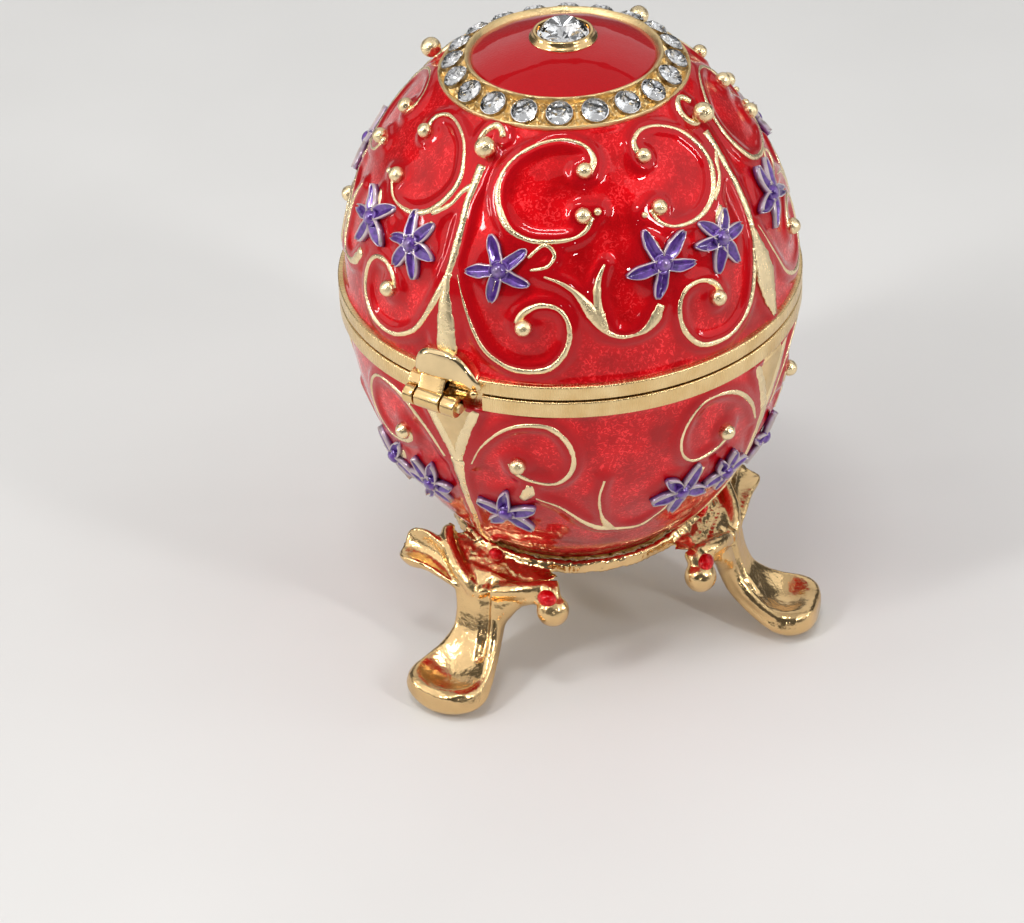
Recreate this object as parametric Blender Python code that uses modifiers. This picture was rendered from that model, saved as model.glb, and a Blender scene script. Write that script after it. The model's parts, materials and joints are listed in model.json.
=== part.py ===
"""Jewelled egg trinket box: a hinged, hollow egg on a stand of three scroll feet.

Metres, +Z up. The hinge is at the back, +Y. The origin is on the floor, in the
middle of the box that holds the whole piece. In the egg's own frame, height is
counted from the parting plane between the bowl and the lid.
"""
import math

import bmesh
import bpy
from mathutils import Matrix, Vector

# Egg
EGG_RADIUS = 0.0295
LID_HEIGHT = 0.0342
BOWL_DEPTH = 0.0340
BOWL_HALF_HEIGHT = 0.0390
WALL = 0.0018
GAP = 0.0003
EGG_STEPS = 32
CAVITY_STEPS = 16

# Rim bands
BAND_STEP = 0.0008
LID_BAND = 0.0019
BOWL_BAND = 0.0022
BAND_CHAMFER = 0.0003

# Ring of small stones near the top
RING_RADIUS = 0.0134
RING_STONES = 20
RING_STONE_DIAMETER = 0.0031
RING_RIM = 0.0004
RING_PROUD = 0.0007
RING_STONE_CROWN = 0.0005
RING_STONE_DEPTH = 0.0009
RING_TURN = -6.0

# Single stone on the crown
CROWN_STONE_DIAMETER = 0.0060
CROWN_STONE_CROWN = 0.0009
CROWN_STONE_DEPTH = 0.0016
BEZEL_RIM = 0.0004
BEZEL_FLARE = 0.0004
BEZEL_PROUD = 0.0011

# Hinge
KNUCKLE_RADIUS = 0.0013
KNUCKLE_STANDOFF = 0.0018
HINGE_DROP = 0.0012
PIN_RADIUS = 0.00045
PIN_CLEARANCE = 0.0003
PIN_STICKS_OUT = 0.0005
SHORT_KNUCKLE = 0.0014
LID_KNUCKLE = 0.0029
LONG_KNUCKLE = 0.0027
HINGE_SHIFT = 0.0037
PLATE_WIDTH = 0.0092
PLATE_SHIFT = -0.0018
PLATE_HEIGHT = 0.0062
PLATE_PROUD = 0.0011
PLATE_BEVEL = 0.0006
NOTCH_WIDTH = 0.0014
NOTCH_DEPTH = 0.0009

# Relief
PANELS = 4
STEM_ANGLE = 91.0
RIDGE_WIDTH = 0.0011
RIDGE_HEIGHT = 0.0006
RIDGE_SINK = 0.0004
RIDGE_STEPS = 7
STEM_HEIGHT = 0.0007
CLUB_WIDTH = 0.0019
STEM_WIDTH = 0.0040
KNOB_RADIUS = 0.0015
FLOWER_RADIUS = 0.0046
FLOWER_HEIGHT = 0.0015
FLOWER_EDGE = 0.0006
FLOWER_WAIST = 0.42

# Stand
STAND_HEIGHT = 0.0157
COLLAR_RADIUS = 0.0165
COLLAR_WIDTH = 0.0040
COLLAR_THICKNESS = 0.0011
COLLAR_LIP = 0.0010
COLLAR_STEPS = 24
LEG_ANGLES = (85.0, 198.0, 321.5)
LEG_REACH = 0.0340
YOKE_RADIUS = 0.0215
YOKE_SPREAD = 27.0
YOKE_HEIGHT = 0.0012
YOKE_THICKNESS = 0.0011
LEG_WIDTH = 0.0094
LEG_THICKNESS = 0.0040
CURL_BALL = 0.0018
CURL_DROP = 0.0032

SHELL_RADIUS = EGG_RADIUS - BAND_STEP
PARTING = STAND_HEIGHT + GAP + BOWL_DEPTH
HINGE_RADIUS = EGG_RADIUS + KNUCKLE_STANDOFF
MERGE = 0.00001
CLOSE_POINTS = 0.00006
FLAT_ANGLE = 2.0


# Scene, collections and materials

def clear_scene():
    for obj in list(bpy.data.objects):
        bpy.data.objects.remove(obj, do_unlink=True)


def new_collection(name):
    collection = bpy.data.collections.new(name)
    bpy.context.scene.collection.children.link(collection)
    return collection


def new_material(name, colour, roughness, metallic, transmission=0.0):
    material = bpy.data.materials.new(name)
    material.use_nodes = True
    shader = material.node_tree.nodes["Principled BSDF"]
    shader.inputs["Base Color"].default_value = (*colour, 1.0)
    shader.inputs["Roughness"].default_value = roughness
    shader.inputs["Metallic"].default_value = metallic
    shader.inputs["Transmission Weight"].default_value = transmission
    return material


def add_object(name, mesh, collection, parent, location, material=None):
    obj = bpy.data.objects.new(name, mesh)
    collection.objects.link(obj)
    obj.parent = parent
    obj.location = location
    if material is not None:
        mesh.materials.append(material)
    return obj


def add_cutter(name, mesh, parent, location):
    obj = add_object(name, mesh, cutters, parent, location)
    obj.hide_render = True
    obj.display_type = "WIRE"
    return obj


def add_empty(name, parent, location):
    empty = bpy.data.objects.new(name, None)
    parts.objects.link(empty)
    empty.parent = parent
    empty.location = location
    return empty


def mesh_from(build_mesh, name):
    mesh = bpy.data.meshes.new(name)
    bmesh.ops.recalc_face_normals(build_mesh, faces=build_mesh.faces)
    build_mesh.to_mesh(mesh)
    build_mesh.free()
    return mesh


# Turned shapes

def profile_mesh(name, points, closed=False):
    mesh = bpy.data.meshes.new(name)
    vertices = [(radius, 0.0, height) for radius, height in points]
    edges = [(i, i + 1) for i in range(len(points) - 1)]
    if closed:
        edges.append((len(points) - 1, 0))
    mesh.from_pydata(vertices, edges, [])
    return mesh


def turn(obj, steps):
    screw = obj.modifiers.new("turned", "SCREW")
    screw.steps = steps
    screw.render_steps = steps
    screw.use_merge_vertices = True
    screw.merge_threshold = MERGE
    screw.use_smooth_shade = True
    return obj


def tidy_faces(obj):
    """Merges points closer than a facet can show, and faces that lie in one plane."""
    weld = obj.modifiers.new("weld", "WELD")
    weld.merge_threshold = CLOSE_POINTS
    flat = obj.modifiers.new("flat_faces", "DECIMATE")
    flat.decimate_type = "DISSOLVE"
    flat.angle_limit = math.radians(FLAT_ANGLE)


def combine(obj, other, operation):
    boolean = obj.modifiers.new(operation.lower(), "BOOLEAN")
    boolean.operation = operation
    boolean.solver = "EXACT"
    boolean.use_self = operation == "UNION"
    boolean.object = other


# The egg's surface

def lid_point(slope):
    """Point of the lid's section; slope runs from 0 at the parting plane to 90 at the top."""
    angle = math.radians(slope)
    return SHELL_RADIUS * math.cos(angle), LID_HEIGHT * math.sin(angle)


def lid_slope(height):
    return math.degrees(math.asin(height / LID_HEIGHT))


def bowl_radius(depth):
    return SHELL_RADIUS * math.sqrt(1.0 - (depth / BOWL_HALF_HEIGHT) ** 2)


def section_normal(radius, height, half_height):
    normal = Vector((radius / SHELL_RADIUS ** 2, height / half_height ** 2))
    return normal.normalized()


def egg_surface(side, angle, share, lift=0.0):
    """Point and outward normal at a polar angle in degrees and a share of the half's height.

    The lid's share counts up to the foot of the stone ring, the bowl's down to its flat bottom.
    """
    if side == "lid":
        height = share * ring_section()[-1][1]
        half_height = LID_HEIGHT
    else:
        height = -share * BOWL_DEPTH
        half_height = BOWL_HALF_HEIGHT
    radius = SHELL_RADIUS * math.sqrt(1.0 - (height / half_height) ** 2)
    out, up = section_normal(radius, height, half_height)
    turned = math.radians(angle)
    normal = Vector((out * math.cos(turned), out * math.sin(turned), up))
    point = Vector((radius * math.cos(turned), radius * math.sin(turned), height))
    return point + normal * lift, normal


# Relief on the egg

def smooth_path(points, steps):
    """Catmull-Rom curve through the points, with a number of steps for each span."""
    ends = [2 * points[0] - points[1], *points, 2 * points[-1] - points[-2]]
    path = []
    for i in range(len(points) - 1):
        before, start, end, after = ends[i:i + 4]
        for step in range(steps):
            t = step / steps
            path.append(0.5 * (2 * start + (end - before) * t
                               + (2 * before - 5 * start + 4 * end - after) * t ** 2
                               + (3 * start - before - 3 * end + after) * t ** 3))
    return path + [points[-1]]


def spiral(centre, size, start, sweep, tightness, steps, turn_in=1.0):
    """Spiral in panel coordinates: size shrinks to a share, tightness, over the sweep."""
    path = []
    for step in range(steps + 1):
        t = step / steps
        angle = math.radians(start + sweep * t)
        shrink = 1.0 - (1.0 - tightness) * t ** turn_in
        path.append(Vector((centre[0] + size[0] * shrink * math.cos(angle),
                            centre[1] + size[1] * shrink * math.sin(angle))))
    return path


def add_ridge(build, side, middle, path, widths, height=RIDGE_HEIGHT):
    """A wire-like ridge along a path of panel angle and height share, tapered by widths."""
    frames = [egg_surface(side, middle + step.x, step.y) for step in path]
    rings = []
    last = len(frames) - 1
    for i, (point, normal) in enumerate(frames):
        along = (frames[min(i + 1, last)][0] - frames[max(i - 1, 0)][0]).normalized()
        across = normal.cross(along).normalized()
        place = i / last * (len(widths) - 1)
        low = min(int(place), len(widths) - 2)
        width = widths[low] + (widths[low + 1] - widths[low]) * (place - low)
        rise = height * min(1.0, 0.6 + 0.4 * width / RIDGE_WIDTH)
        rings.append([build.verts.new(point - across * width / 2 - normal * RIDGE_SINK),
                      build.verts.new(point + normal * rise),
                      build.verts.new(point + across * width / 2 - normal * RIDGE_SINK)])
    for ring, following in zip(rings, rings[1:]):
        for i in range(3):
            j = (i + 1) % 3
            build.faces.new((ring[i], ring[j], following[j], following[i]))
    build.faces.new(rings[0])
    build.faces.new(reversed(rings[-1]))


def add_ball(build, centre, radius):
    bmesh.ops.create_uvsphere(build, u_segments=8, v_segments=4, radius=radius,
                              matrix=Matrix.Translation(centre))


def add_flower(build, side, angle, share, petals, turned):
    """A star flower that slopes down from a raised middle, laid over the egg's surface."""
    centre, normal = egg_surface(side, angle, share)
    level = Vector((0.0, 0.0, 1.0))
    across = level.cross(normal).normalized()
    upward = normal.cross(across)
    outline = []
    corners = petals * 2
    for i in range(corners):
        direction = math.radians(turned + 360.0 * i / corners)
        aim = across * math.cos(direction) + upward * math.sin(direction)
        reach = FLOWER_RADIUS if i % 2 == 0 else FLOWER_RADIUS * FLOWER_WAIST
        drop = normal * (reach ** 2 / (2 * SHELL_RADIUS))
        edge = centre + aim * reach - drop
        outline.append((build.verts.new(edge - normal * RIDGE_SINK * 2),
                        build.verts.new(edge + normal * FLOWER_EDGE)))
    top = build.verts.new(centre + normal * FLOWER_HEIGHT)
    bottom = build.verts.new(centre - normal * RIDGE_SINK * 2)
    for i in range(corners):
        low, high = outline[i]
        next_low, next_high = outline[(i + 1) % corners]
        build.faces.new((low, next_low, next_high, high))
        build.faces.new((next_low, low, bottom))
        build.faces.new((high, next_high, top))


def mirrored(path):
    return [Vector((-step.x, step.y)) for step in path]


THIN = (RIDGE_WIDTH * 0.6, RIDGE_WIDTH, RIDGE_WIDTH * 0.6)
SCROLL = (CLUB_WIDTH, RIDGE_WIDTH * 0.7, RIDGE_WIDTH, RIDGE_WIDTH, RIDGE_WIDTH,
          RIDGE_WIDTH * 0.7, CLUB_WIDTH)
CURL = (RIDGE_WIDTH * 0.7, RIDGE_WIDTH, RIDGE_WIDTH, RIDGE_WIDTH * 0.7, CLUB_WIDTH)
LID_STEM = (STEM_WIDTH * 0.7, STEM_WIDTH, STEM_WIDTH * 0.85, STEM_WIDTH * 0.35,
            STEM_WIDTH * 0.3, STEM_WIDTH * 0.25)
WEDGE_SIDE = (RIDGE_WIDTH * 1.3, RIDGE_WIDTH * 1.8)
BOWL_STEM = (RIDGE_WIDTH * 2.2, RIDGE_WIDTH * 0.9, RIDGE_WIDTH * 0.7)
LID_FLOWERS = ((-32.0, 0.538, 5, 100.0), (11.5, 0.526, 6, 20.0), (30.5, 0.538, 6, 5.0))
BOWL_FLOWERS = ((-33.0, 0.57, 5, 80.0), (16.0, 0.53, 6, 25.0), (32.5, 0.54, 6, 0.0))


def straight(start, end, steps):
    return [Vector(start).lerp(Vector(end), step / steps) for step in range(steps + 1)]


def add_lid_relief(build):
    scroll = spiral((22.5, 0.816), (16.0, 0.165), 150.0, -300.0, 0.92, RIDGE_STEPS)
    curl = spiral((24.0, 0.290), (24.0, 0.225), 50.0, -345.0, 0.22, RIDGE_STEPS, 0.85)
    vine = smooth_path([Vector(step) for step in ((-22.0, 0.538), (-10.0, 0.437), (-1.0, 0.272),
                                                  (9.0, 0.390))], 2)
    branch = straight((-4.3, 0.562), (-6.0, 0.343), 2)
    stem = straight((0.0, 0.059), (0.0, 0.993), 5)
    for panel in range(PANELS):
        corner = STEM_ANGLE + panel * 360.0 / PANELS
        middle = corner + 180.0 / PANELS
        add_ridge(build, "lid", corner, stem, LID_STEM, STEM_HEIGHT)
        knob, _ = egg_surface("lid", corner + 5.0, 0.975, KNOB_RADIUS * 0.35)
        add_ball(build, knob, KNOB_RADIUS)
        for path in (scroll, mirrored(scroll)):
            add_ridge(build, "lid", middle, path, SCROLL)
        for path in (curl, mirrored(curl)):
            add_ridge(build, "lid", middle, path, CURL)
        add_ridge(build, "lid", middle, vine, THIN)
        add_ridge(build, "lid", middle, branch, THIN)
        for place, share, petals, turned in LID_FLOWERS:
            add_flower(build, "lid", middle + place, share, petals, turned)


def add_bowl_relief(build):
    curl = spiral((26.5, 0.270), (18.5, 0.160), -35.0, 330.0, 0.30, RIDGE_STEPS, 1.2)
    vine = smooth_path([Vector(step) for step in ((-24.0, 0.480), (-10.0, 0.630), (4.0, 0.695),
                                                  (13.0, 0.600))], 2)
    branch = straight((-6.5, 0.385), (-5.5, 0.640), 2)
    side = straight((7.2, 0.090), (0.4, 0.340), 2)
    stem = straight((0.0, 0.330), (0.0, 0.930), 3)
    for panel in range(PANELS):
        corner = STEM_ANGLE + panel * 360.0 / PANELS
        middle = corner + 180.0 / PANELS
        for path in (side, mirrored(side)):
            add_ridge(build, "bowl", corner, path, WEDGE_SIDE)
        add_ridge(build, "bowl", corner, stem, BOWL_STEM)
        for path in (curl, mirrored(curl)):
            add_ridge(build, "bowl", middle, path, CURL)
        add_ridge(build, "bowl", middle, vine, THIN)
        add_ridge(build, "bowl", middle, branch, THIN)
        for place, share, petals, turned in BOWL_FLOWERS:
            add_flower(build, "bowl", middle + place, share, petals, turned)


# Stones

def stone_profile(diameter, crown, depth):
    radius = diameter / 2
    return [(0.0, crown), (radius * 0.58, crown), (radius, 0.0), (0.0, -depth)]


def seat_half_width():
    return RING_STONE_DIAMETER / 2 + GAP


def ring_frame():
    """Centre, outward tangent and normal of the stone ring in the lid's section."""
    slope = math.degrees(math.acos(RING_RADIUS / SHELL_RADIUS))
    centre = Vector(lid_point(slope))
    normal = section_normal(centre.x, centre.y, LID_HEIGHT)
    tangent = Vector((normal.y, -normal.x))
    return centre, tangent, normal


RING_SEAT_DEPTH = RING_STONE_DEPTH + GAP - RING_PROUD


def ring_section():
    centre, tangent, normal = ring_frame()
    half = seat_half_width() + RING_RIM
    inner = (-seat_half_width(), -seat_half_width())
    heights = (RING_PROUD, -RING_SEAT_DEPTH)
    points = [centre + tangent * along + normal * lift for along, lift in zip(inner, heights)]
    points += [centre - tangent * along + normal * lift
               for along, lift in zip(reversed(inner), reversed(heights))]
    first = lid_point(math.degrees(math.acos((centre.x - tangent.x * half) / SHELL_RADIUS)))
    last = lid_point(math.degrees(math.acos((centre.x + tangent.x * half) / SHELL_RADIUS)))
    return [first] + [tuple(point) for point in points] + [last]


# Egg halves

def crown_cup_floor():
    return LID_HEIGHT + BEZEL_PROUD - CROWN_STONE_DEPTH - 2 * GAP


def bezel_outline():
    """Cup and rim that hold the crown's stone, down to the dome."""
    cup = CROWN_STONE_DIAMETER / 2 + GAP
    rim = LID_HEIGHT + BEZEL_PROUD
    foot = cup + BEZEL_RIM + BEZEL_FLARE
    foot_height = LID_HEIGHT * math.sqrt(1.0 - (foot / SHELL_RADIUS) ** 2)
    return [(0.0, crown_cup_floor()), (cup, crown_cup_floor()), (cup, rim), (foot, foot_height)]


def lid_outline():
    band_top = GAP / 2 + LID_BAND
    ring = ring_section()
    ring_top = lid_slope(ring[0][1])
    ring_bottom = lid_slope(ring[-1][1])
    band_slope = lid_slope(band_top)
    bezel = bezel_outline()
    bezel_slope = lid_slope(bezel[-1][1])
    dome = [lid_point((bezel_slope + ring_top) / 2)]
    side = [lid_point(ring_bottom - (ring_bottom - band_slope) * step / 5) for step in range(1, 6)]
    band = [(EGG_RADIUS - BAND_CHAMFER, band_top), (EGG_RADIUS, band_top - BAND_CHAMFER),
            (EGG_RADIUS, GAP / 2), (0.0, GAP / 2)]
    return bezel + dome + ring + side + band


def bowl_outline():
    rim = -GAP / 2
    band_bottom = rim - BOWL_BAND
    steps = 6
    start = math.asin(-band_bottom / BOWL_HALF_HEIGHT)
    finish = math.asin(BOWL_DEPTH / BOWL_HALF_HEIGHT)
    side = []
    for step in range(steps + 1):
        depth = BOWL_HALF_HEIGHT * math.sin(start + (finish - start) * step / steps)
        side.append((bowl_radius(depth), -depth))
    band = [(0.0, rim), (EGG_RADIUS, rim), (EGG_RADIUS, band_bottom + BAND_CHAMFER),
            (EGG_RADIUS - BAND_CHAMFER, band_bottom)]
    return band + side + [(0.0, -BOWL_DEPTH)]


def lid_cavity_outline():
    top = crown_cup_floor() - WALL / 2
    radius = SHELL_RADIUS - WALL
    steps = 6
    arc = [(radius * math.sin(math.radians(90.0 * step / steps)),
            top * math.cos(math.radians(90.0 * step / steps))) for step in range(1, steps)]
    return [(0.0, top)] + arc + [(radius, GAP), (radius, -WALL), (0.0, -WALL)]


def bowl_cavity_outline():
    floor = BOWL_DEPTH - WALL
    radius = SHELL_RADIUS - WALL
    half_height = BOWL_HALF_HEIGHT - WALL
    steps = 5
    finish = math.asin(floor / half_height)
    arc = []
    for step in range(steps + 1):
        angle = finish * step / steps
        arc.append((radius * math.cos(angle), -half_height * math.sin(angle)))
    return [(0.0, WALL), (radius, WALL)] + arc + [(0.0, -floor)]


# Hinge, around its axis at the back of the rim

HINGE_AXIS = Vector((0.0, HINGE_RADIUS, -HINGE_DROP))


def add_box(build, low, high, bevel=0.0):
    """A box between two corners that are counted from the hinge axis."""
    size = [end - start for start, end in zip(low, high)]
    middle = Vector([(start + end) / 2 for start, end in zip(low, high)])
    place = Matrix.Translation(HINGE_AXIS + middle) @ Matrix.Diagonal((*size, 1.0))
    made = bmesh.ops.create_cube(build, size=1.0, matrix=place)
    if bevel:
        edges = {edge for vertex in made["verts"] for edge in vertex.link_edges}
        bmesh.ops.bevel(build, geom=sorted(edges, key=lambda edge: edge.index), offset=bevel,
                        segments=1, affect="EDGES")


def add_rod(build, radius, start, end, sides):
    """A rod along the hinge axis."""
    place = Matrix.Translation(HINGE_AXIS + Vector(((start + end) / 2, 0.0, 0.0)))
    bmesh.ops.create_cone(build, cap_ends=True, segments=sides, radius1=radius, radius2=radius,
                          depth=end - start, matrix=place @ Matrix.Rotation(math.pi / 2, 4, "Y"))


def knuckle_spans():
    """The three knuckles along X, from the short one at +X to the long one at -X."""
    short = (HINGE_SHIFT - SHORT_KNUCKLE, HINGE_SHIFT)
    middle_end = short[0] - GAP
    middle = (middle_end - LID_KNUCKLE, middle_end)
    long_end = middle[0] - GAP
    return short, middle, (long_end - LONG_KNUCKLE, long_end)


TO_BAND = EGG_RADIUS - HINGE_RADIUS
TO_SHELL = SHELL_RADIUS - WALL * 0.6 - HINGE_RADIUS


def add_bowl_hinge(build):
    short, _, long = knuckle_spans()
    for span in (short, long):
        add_rod(build, KNUCKLE_RADIUS, *span, 12)
        add_box(build, (span[0], TO_SHELL, -KNUCKLE_RADIUS * 0.8),
                (span[1], -PIN_RADIUS / 4, HINGE_DROP - 2 * GAP))


def add_lid_hinge(build):
    _, middle, _ = knuckle_spans()
    plate_foot = HINGE_DROP + 2 * GAP
    add_rod(build, KNUCKLE_RADIUS, *middle, 12)
    add_box(build, (middle[0], TO_BAND + KNUCKLE_STANDOFF * 0.25, 0.0),
            (middle[1], -PIN_RADIUS / 4, plate_foot + PLATE_BEVEL * 2))
    add_box(build, (PLATE_SHIFT - PLATE_WIDTH / 2, TO_SHELL, plate_foot),
            (PLATE_SHIFT + PLATE_WIDTH / 2, TO_BAND + PLATE_PROUD, plate_foot + PLATE_HEIGHT),
            PLATE_BEVEL)


def hinge_cuts():
    """The pin's bore, and the notch in the bowl's rim beside the long knuckle."""
    short, _, long = knuckle_spans()
    build = bmesh.new()
    add_rod(build, PIN_RADIUS + PIN_CLEARANCE, long[0] - WALL, short[1] + WALL, 10)
    add_box(build, (long[0] - NOTCH_WIDTH, TO_BAND - NOTCH_DEPTH, -BOWL_BAND),
            (long[0], TO_BAND + GAP, HINGE_DROP + GAP / 4))
    return mesh_from(build, "hinge_cuts")


def make_pin():
    short, _, long = knuckle_spans()
    build = bmesh.new()
    add_rod(build, PIN_RADIUS, long[0] - PIN_STICKS_OUT, short[1], 8)
    add_object("hinge_pin", mesh_from(build, "hinge_pin"), parts, egg, (0, 0, PARTING), gold)


# Egg halves with their relief and hinge

def make_half(name, parent, place, outline, cavity_outline, additions):
    """A turned, hollowed half joined with its relief and its part of the hinge."""
    half = add_object(name, profile_mesh(name, outline), parts, parent, place, red)
    turn(half, EGG_STEPS)
    build = bmesh.new()
    for add in additions:
        add(build)
    ornament = mesh_from(build, name + "_ornament")
    combine(half, add_cutter(name + "_ornament", ornament, parent, place), "UNION")
    cavity = profile_mesh(name + "_cavity", cavity_outline)
    cavity_object = turn(add_cutter(name + "_cavity", cavity, parent, place), CAVITY_STEPS)
    combine(half, cavity_object, "DIFFERENCE")
    cuts = add_cutter(name + "_hinge_cuts", hinge_cuts(), parent, place)
    combine(half, cuts, "DIFFERENCE")
    tidy_faces(half)


# Stand

# Shares of the leg's reach, the stand's height, the leg's width and thickness, and the dish's rise
LEG_STATIONS = (
    (0.00, 0.900, 0.98, 0.60, 0.8), (0.12, 0.800, 0.72, 0.75, 0.6), (0.17, 0.620, 0.53, 0.85, 0.6),
    (0.21, 0.440, 0.53, 0.90, 0.6), (0.32, 0.290, 0.64, 0.90, 0.5), (0.49, 0.180, 0.83, 0.95, 0.2),
    (0.68, 0.125, 1.00, 1.00, 0.0), (0.85, 0.135, 0.96, 0.95, 0.1), (0.96, 0.175, 0.66, 0.80, 0.4),
    (1.00, 0.200, 0.32, 0.45, 0.8),
)
SOLE_STATIONS = (5, 6, 7)
YOKE_RISE = (0.0, 0.5, 0.2, -1.0)


def leg_section(radius, height, slope, half_width, half_depth, dish):
    """Seven corners around the leg: side, rim, dished middle, rim, side and two below."""
    up = Vector((0.0, -math.sin(slope), math.cos(slope)))
    shape = ((-1.0, 0.0), (-0.72, 1.0), (0.0, dish), (0.72, 1.0), (1.0, 0.0), (0.5, -1.0),
             (-0.5, -1.0))
    centre = Vector((0.0, radius, height))
    return [centre + Vector((x * half_width, 0.0, 0.0)) + up * (y * half_depth) for x, y in shape]


def add_leg(build, angle):
    turned = Matrix.Rotation(math.radians(angle - 90.0), 3, "Z")
    places = [(COLLAR_RADIUS + share * (LEG_REACH - COLLAR_RADIUS), rise * STAND_HEIGHT)
              for share, rise, _, _, _ in LEG_STATIONS]
    rings = []
    for i, (radius, height) in enumerate(places):
        before = places[max(i - 1, 0)]
        after = places[min(i + 1, len(places) - 1)]
        slope = math.atan2(after[1] - before[1], after[0] - before[0])
        _, _, width, thickness, dish = LEG_STATIONS[i]
        corners = leg_section(radius, height, slope, width * LEG_WIDTH / 2,
                              thickness * LEG_THICKNESS / 2, dish)
        for corner in corners[-2:]:
            if i in SOLE_STATIONS:
                corner.z = 0.0
        for corner in corners:
            corner.z = max(corner.z, 0.0)
        rings.append([build.verts.new(turned @ corner) for corner in corners])
    for ring, following in zip(rings, rings[1:]):
        for i in range(len(ring)):
            j = (i + 1) % len(ring)
            build.faces.new((ring[i], ring[j], following[j], following[i]))
    build.faces.new(rings[0])
    build.faces.new(reversed(rings[-1]))


def yoke_path(angle):
    points = []
    steps = len(YOKE_RISE) - 1
    for step in range(-steps, steps + 1):
        share = step / steps
        turned = math.radians(angle + YOKE_SPREAD * share)
        radius = YOKE_RADIUS - YOKE_HEIGHT * math.sin(math.pi * abs(share))
        height = STAND_HEIGHT - YOKE_HEIGHT + YOKE_HEIGHT * YOKE_RISE[abs(step)]
        points.append(Vector((radius * math.cos(turned), radius * math.sin(turned), height)))
    return points


def add_yoke(build, angle):
    """Crosspiece over the leg, from curl to curl, with a ball hanging at each end."""
    path = yoke_path(angle)
    rings = []
    last = len(path) - 1
    for i, point in enumerate(path):
        along = (path[min(i + 1, last)] - path[max(i - 1, 0)]).normalized()
        out = along.cross(Vector((0.0, 0.0, 1.0))).normalized()
        up = out.cross(along)
        corners = ((-0.5, -1.0), (-0.3, 1.0), (0.3, 1.0), (0.5, -1.0))
        rings.append([build.verts.new(point + out * x * YOKE_THICKNESS + up * y * YOKE_HEIGHT)
                      for x, y in corners])
    for ring, following in zip(rings, rings[1:]):
        for i in range(len(ring)):
            j = (i + 1) % len(ring)
            build.faces.new((ring[i], ring[j], following[j], following[i]))
    build.faces.new(rings[0])
    build.faces.new(reversed(rings[-1]))
    for end in (path[0], path[-1]):
        outward = Vector((end.x, end.y, 0.0)).normalized()
        add_ball(build, end + outward * CURL_BALL * 0.3 - Vector((0, 0, CURL_DROP - CURL_BALL)),
                 CURL_BALL)


def add_lobe(build, angle):
    """Flat triangular plate that fills the corner between the collar and the yoke."""
    turned = math.radians(angle)
    out = Vector((math.cos(turned), math.sin(turned), 0.0))
    side = Vector((-out.y, out.x, 0.0))
    spread = YOKE_RADIUS * math.sin(math.radians(YOKE_SPREAD)) * 0.85
    root = COLLAR_RADIUS * 0.82
    outline = ((-spread, root), (spread, root), (spread * 0.9, YOKE_RADIUS * 0.86),
               (0.0, YOKE_RADIUS), (-spread * 0.9, YOKE_RADIUS * 0.86))
    top = STAND_HEIGHT - COLLAR_THICKNESS / 2
    rings = [[build.verts.new(side * x + out * y + Vector((0.0, 0.0, height))) for x, y in outline]
             for height in (top, top - COLLAR_THICKNESS)]
    for i in range(len(outline)):
        j = (i + 1) % len(outline)
        build.faces.new((rings[0][i], rings[0][j], rings[1][j], rings[1][i]))
    build.faces.new(rings[0])
    build.faces.new(reversed(rings[1]))


def make_stand():
    foot_radius = bowl_radius(BOWL_DEPTH)
    inner = COLLAR_RADIUS - COLLAR_WIDTH
    lip_radius = COLLAR_RADIUS - COLLAR_LIP / 2
    lip_depth = BOWL_HALF_HEIGHT * math.sqrt(1.0 - (lip_radius / SHELL_RADIUS) ** 2)
    lip_top = min(STAND_HEIGHT + COLLAR_LIP, PARTING - lip_depth - 2 * GAP)
    bottom = STAND_HEIGHT - COLLAR_THICKNESS
    outline = [(inner, STAND_HEIGHT), (foot_radius + GAP, STAND_HEIGHT), (lip_radius, lip_top),
               (COLLAR_RADIUS, lip_top), (COLLAR_RADIUS, bottom), (inner, bottom)]
    stand = add_object("stand", profile_mesh("stand", outline, True), parts, egg, (0, 0, 0), gold)
    turn(stand, COLLAR_STEPS)
    build = bmesh.new()
    for angle in LEG_ANGLES:
        add_leg(build, angle)
        add_yoke(build, angle)
        add_lobe(build, angle)
    legs = add_cutter("legs", mesh_from(build, "legs"), egg, (0, 0, 0))
    combine(stand, legs, "UNION")
    tidy_faces(stand)


# Stones in their seats

def make_stones():
    centre, _, normal = ring_frame()
    lean = math.atan2(normal.x, normal.y)
    girdle = centre + normal * (RING_STONE_DEPTH + GAP - RING_SEAT_DEPTH)
    outline = stone_profile(RING_STONE_DIAMETER, RING_STONE_CROWN, RING_STONE_DEPTH)
    for number in range(RING_STONES):
        angle = math.radians(RING_TURN + number * 360.0 / RING_STONES)
        place = Vector((girdle.x * math.cos(angle), girdle.x * math.sin(angle),
                        PARTING + girdle.y)) - hinge.location
        name = f"ring_crystal_{number + 1:02d}"
        stone = add_object(name, profile_mesh(name, outline), parts, hinge, place, crystal)
        stone.rotation_euler = (0.0, lean, angle)
        turn(stone, 8)
    outline = stone_profile(CROWN_STONE_DIAMETER, CROWN_STONE_CROWN, CROWN_STONE_DEPTH)
    height = PARTING + LID_HEIGHT + BEZEL_PROUD - GAP
    stone = add_object("crown_crystal", profile_mesh("crown_crystal", outline), parts, hinge,
                       Vector((0, 0, height)) - hinge.location, crystal)
    turn(stone, 12)


def centre_on_footprint():
    """Move the egg's axis so that the origin is in the middle of the whole piece's box."""
    bpy.context.view_layer.update()
    graph = bpy.context.evaluated_depsgraph_get()
    corners = []
    for obj in parts.objects:
        if obj.type == "MESH":
            shape = obj.evaluated_get(graph)
            corners += [shape.matrix_world @ vertex.co for vertex in shape.data.vertices]
    for axis in (0, 1):
        values = [corner[axis] for corner in corners]
        egg.location[axis] = -(min(values) + max(values)) / 2


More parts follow.
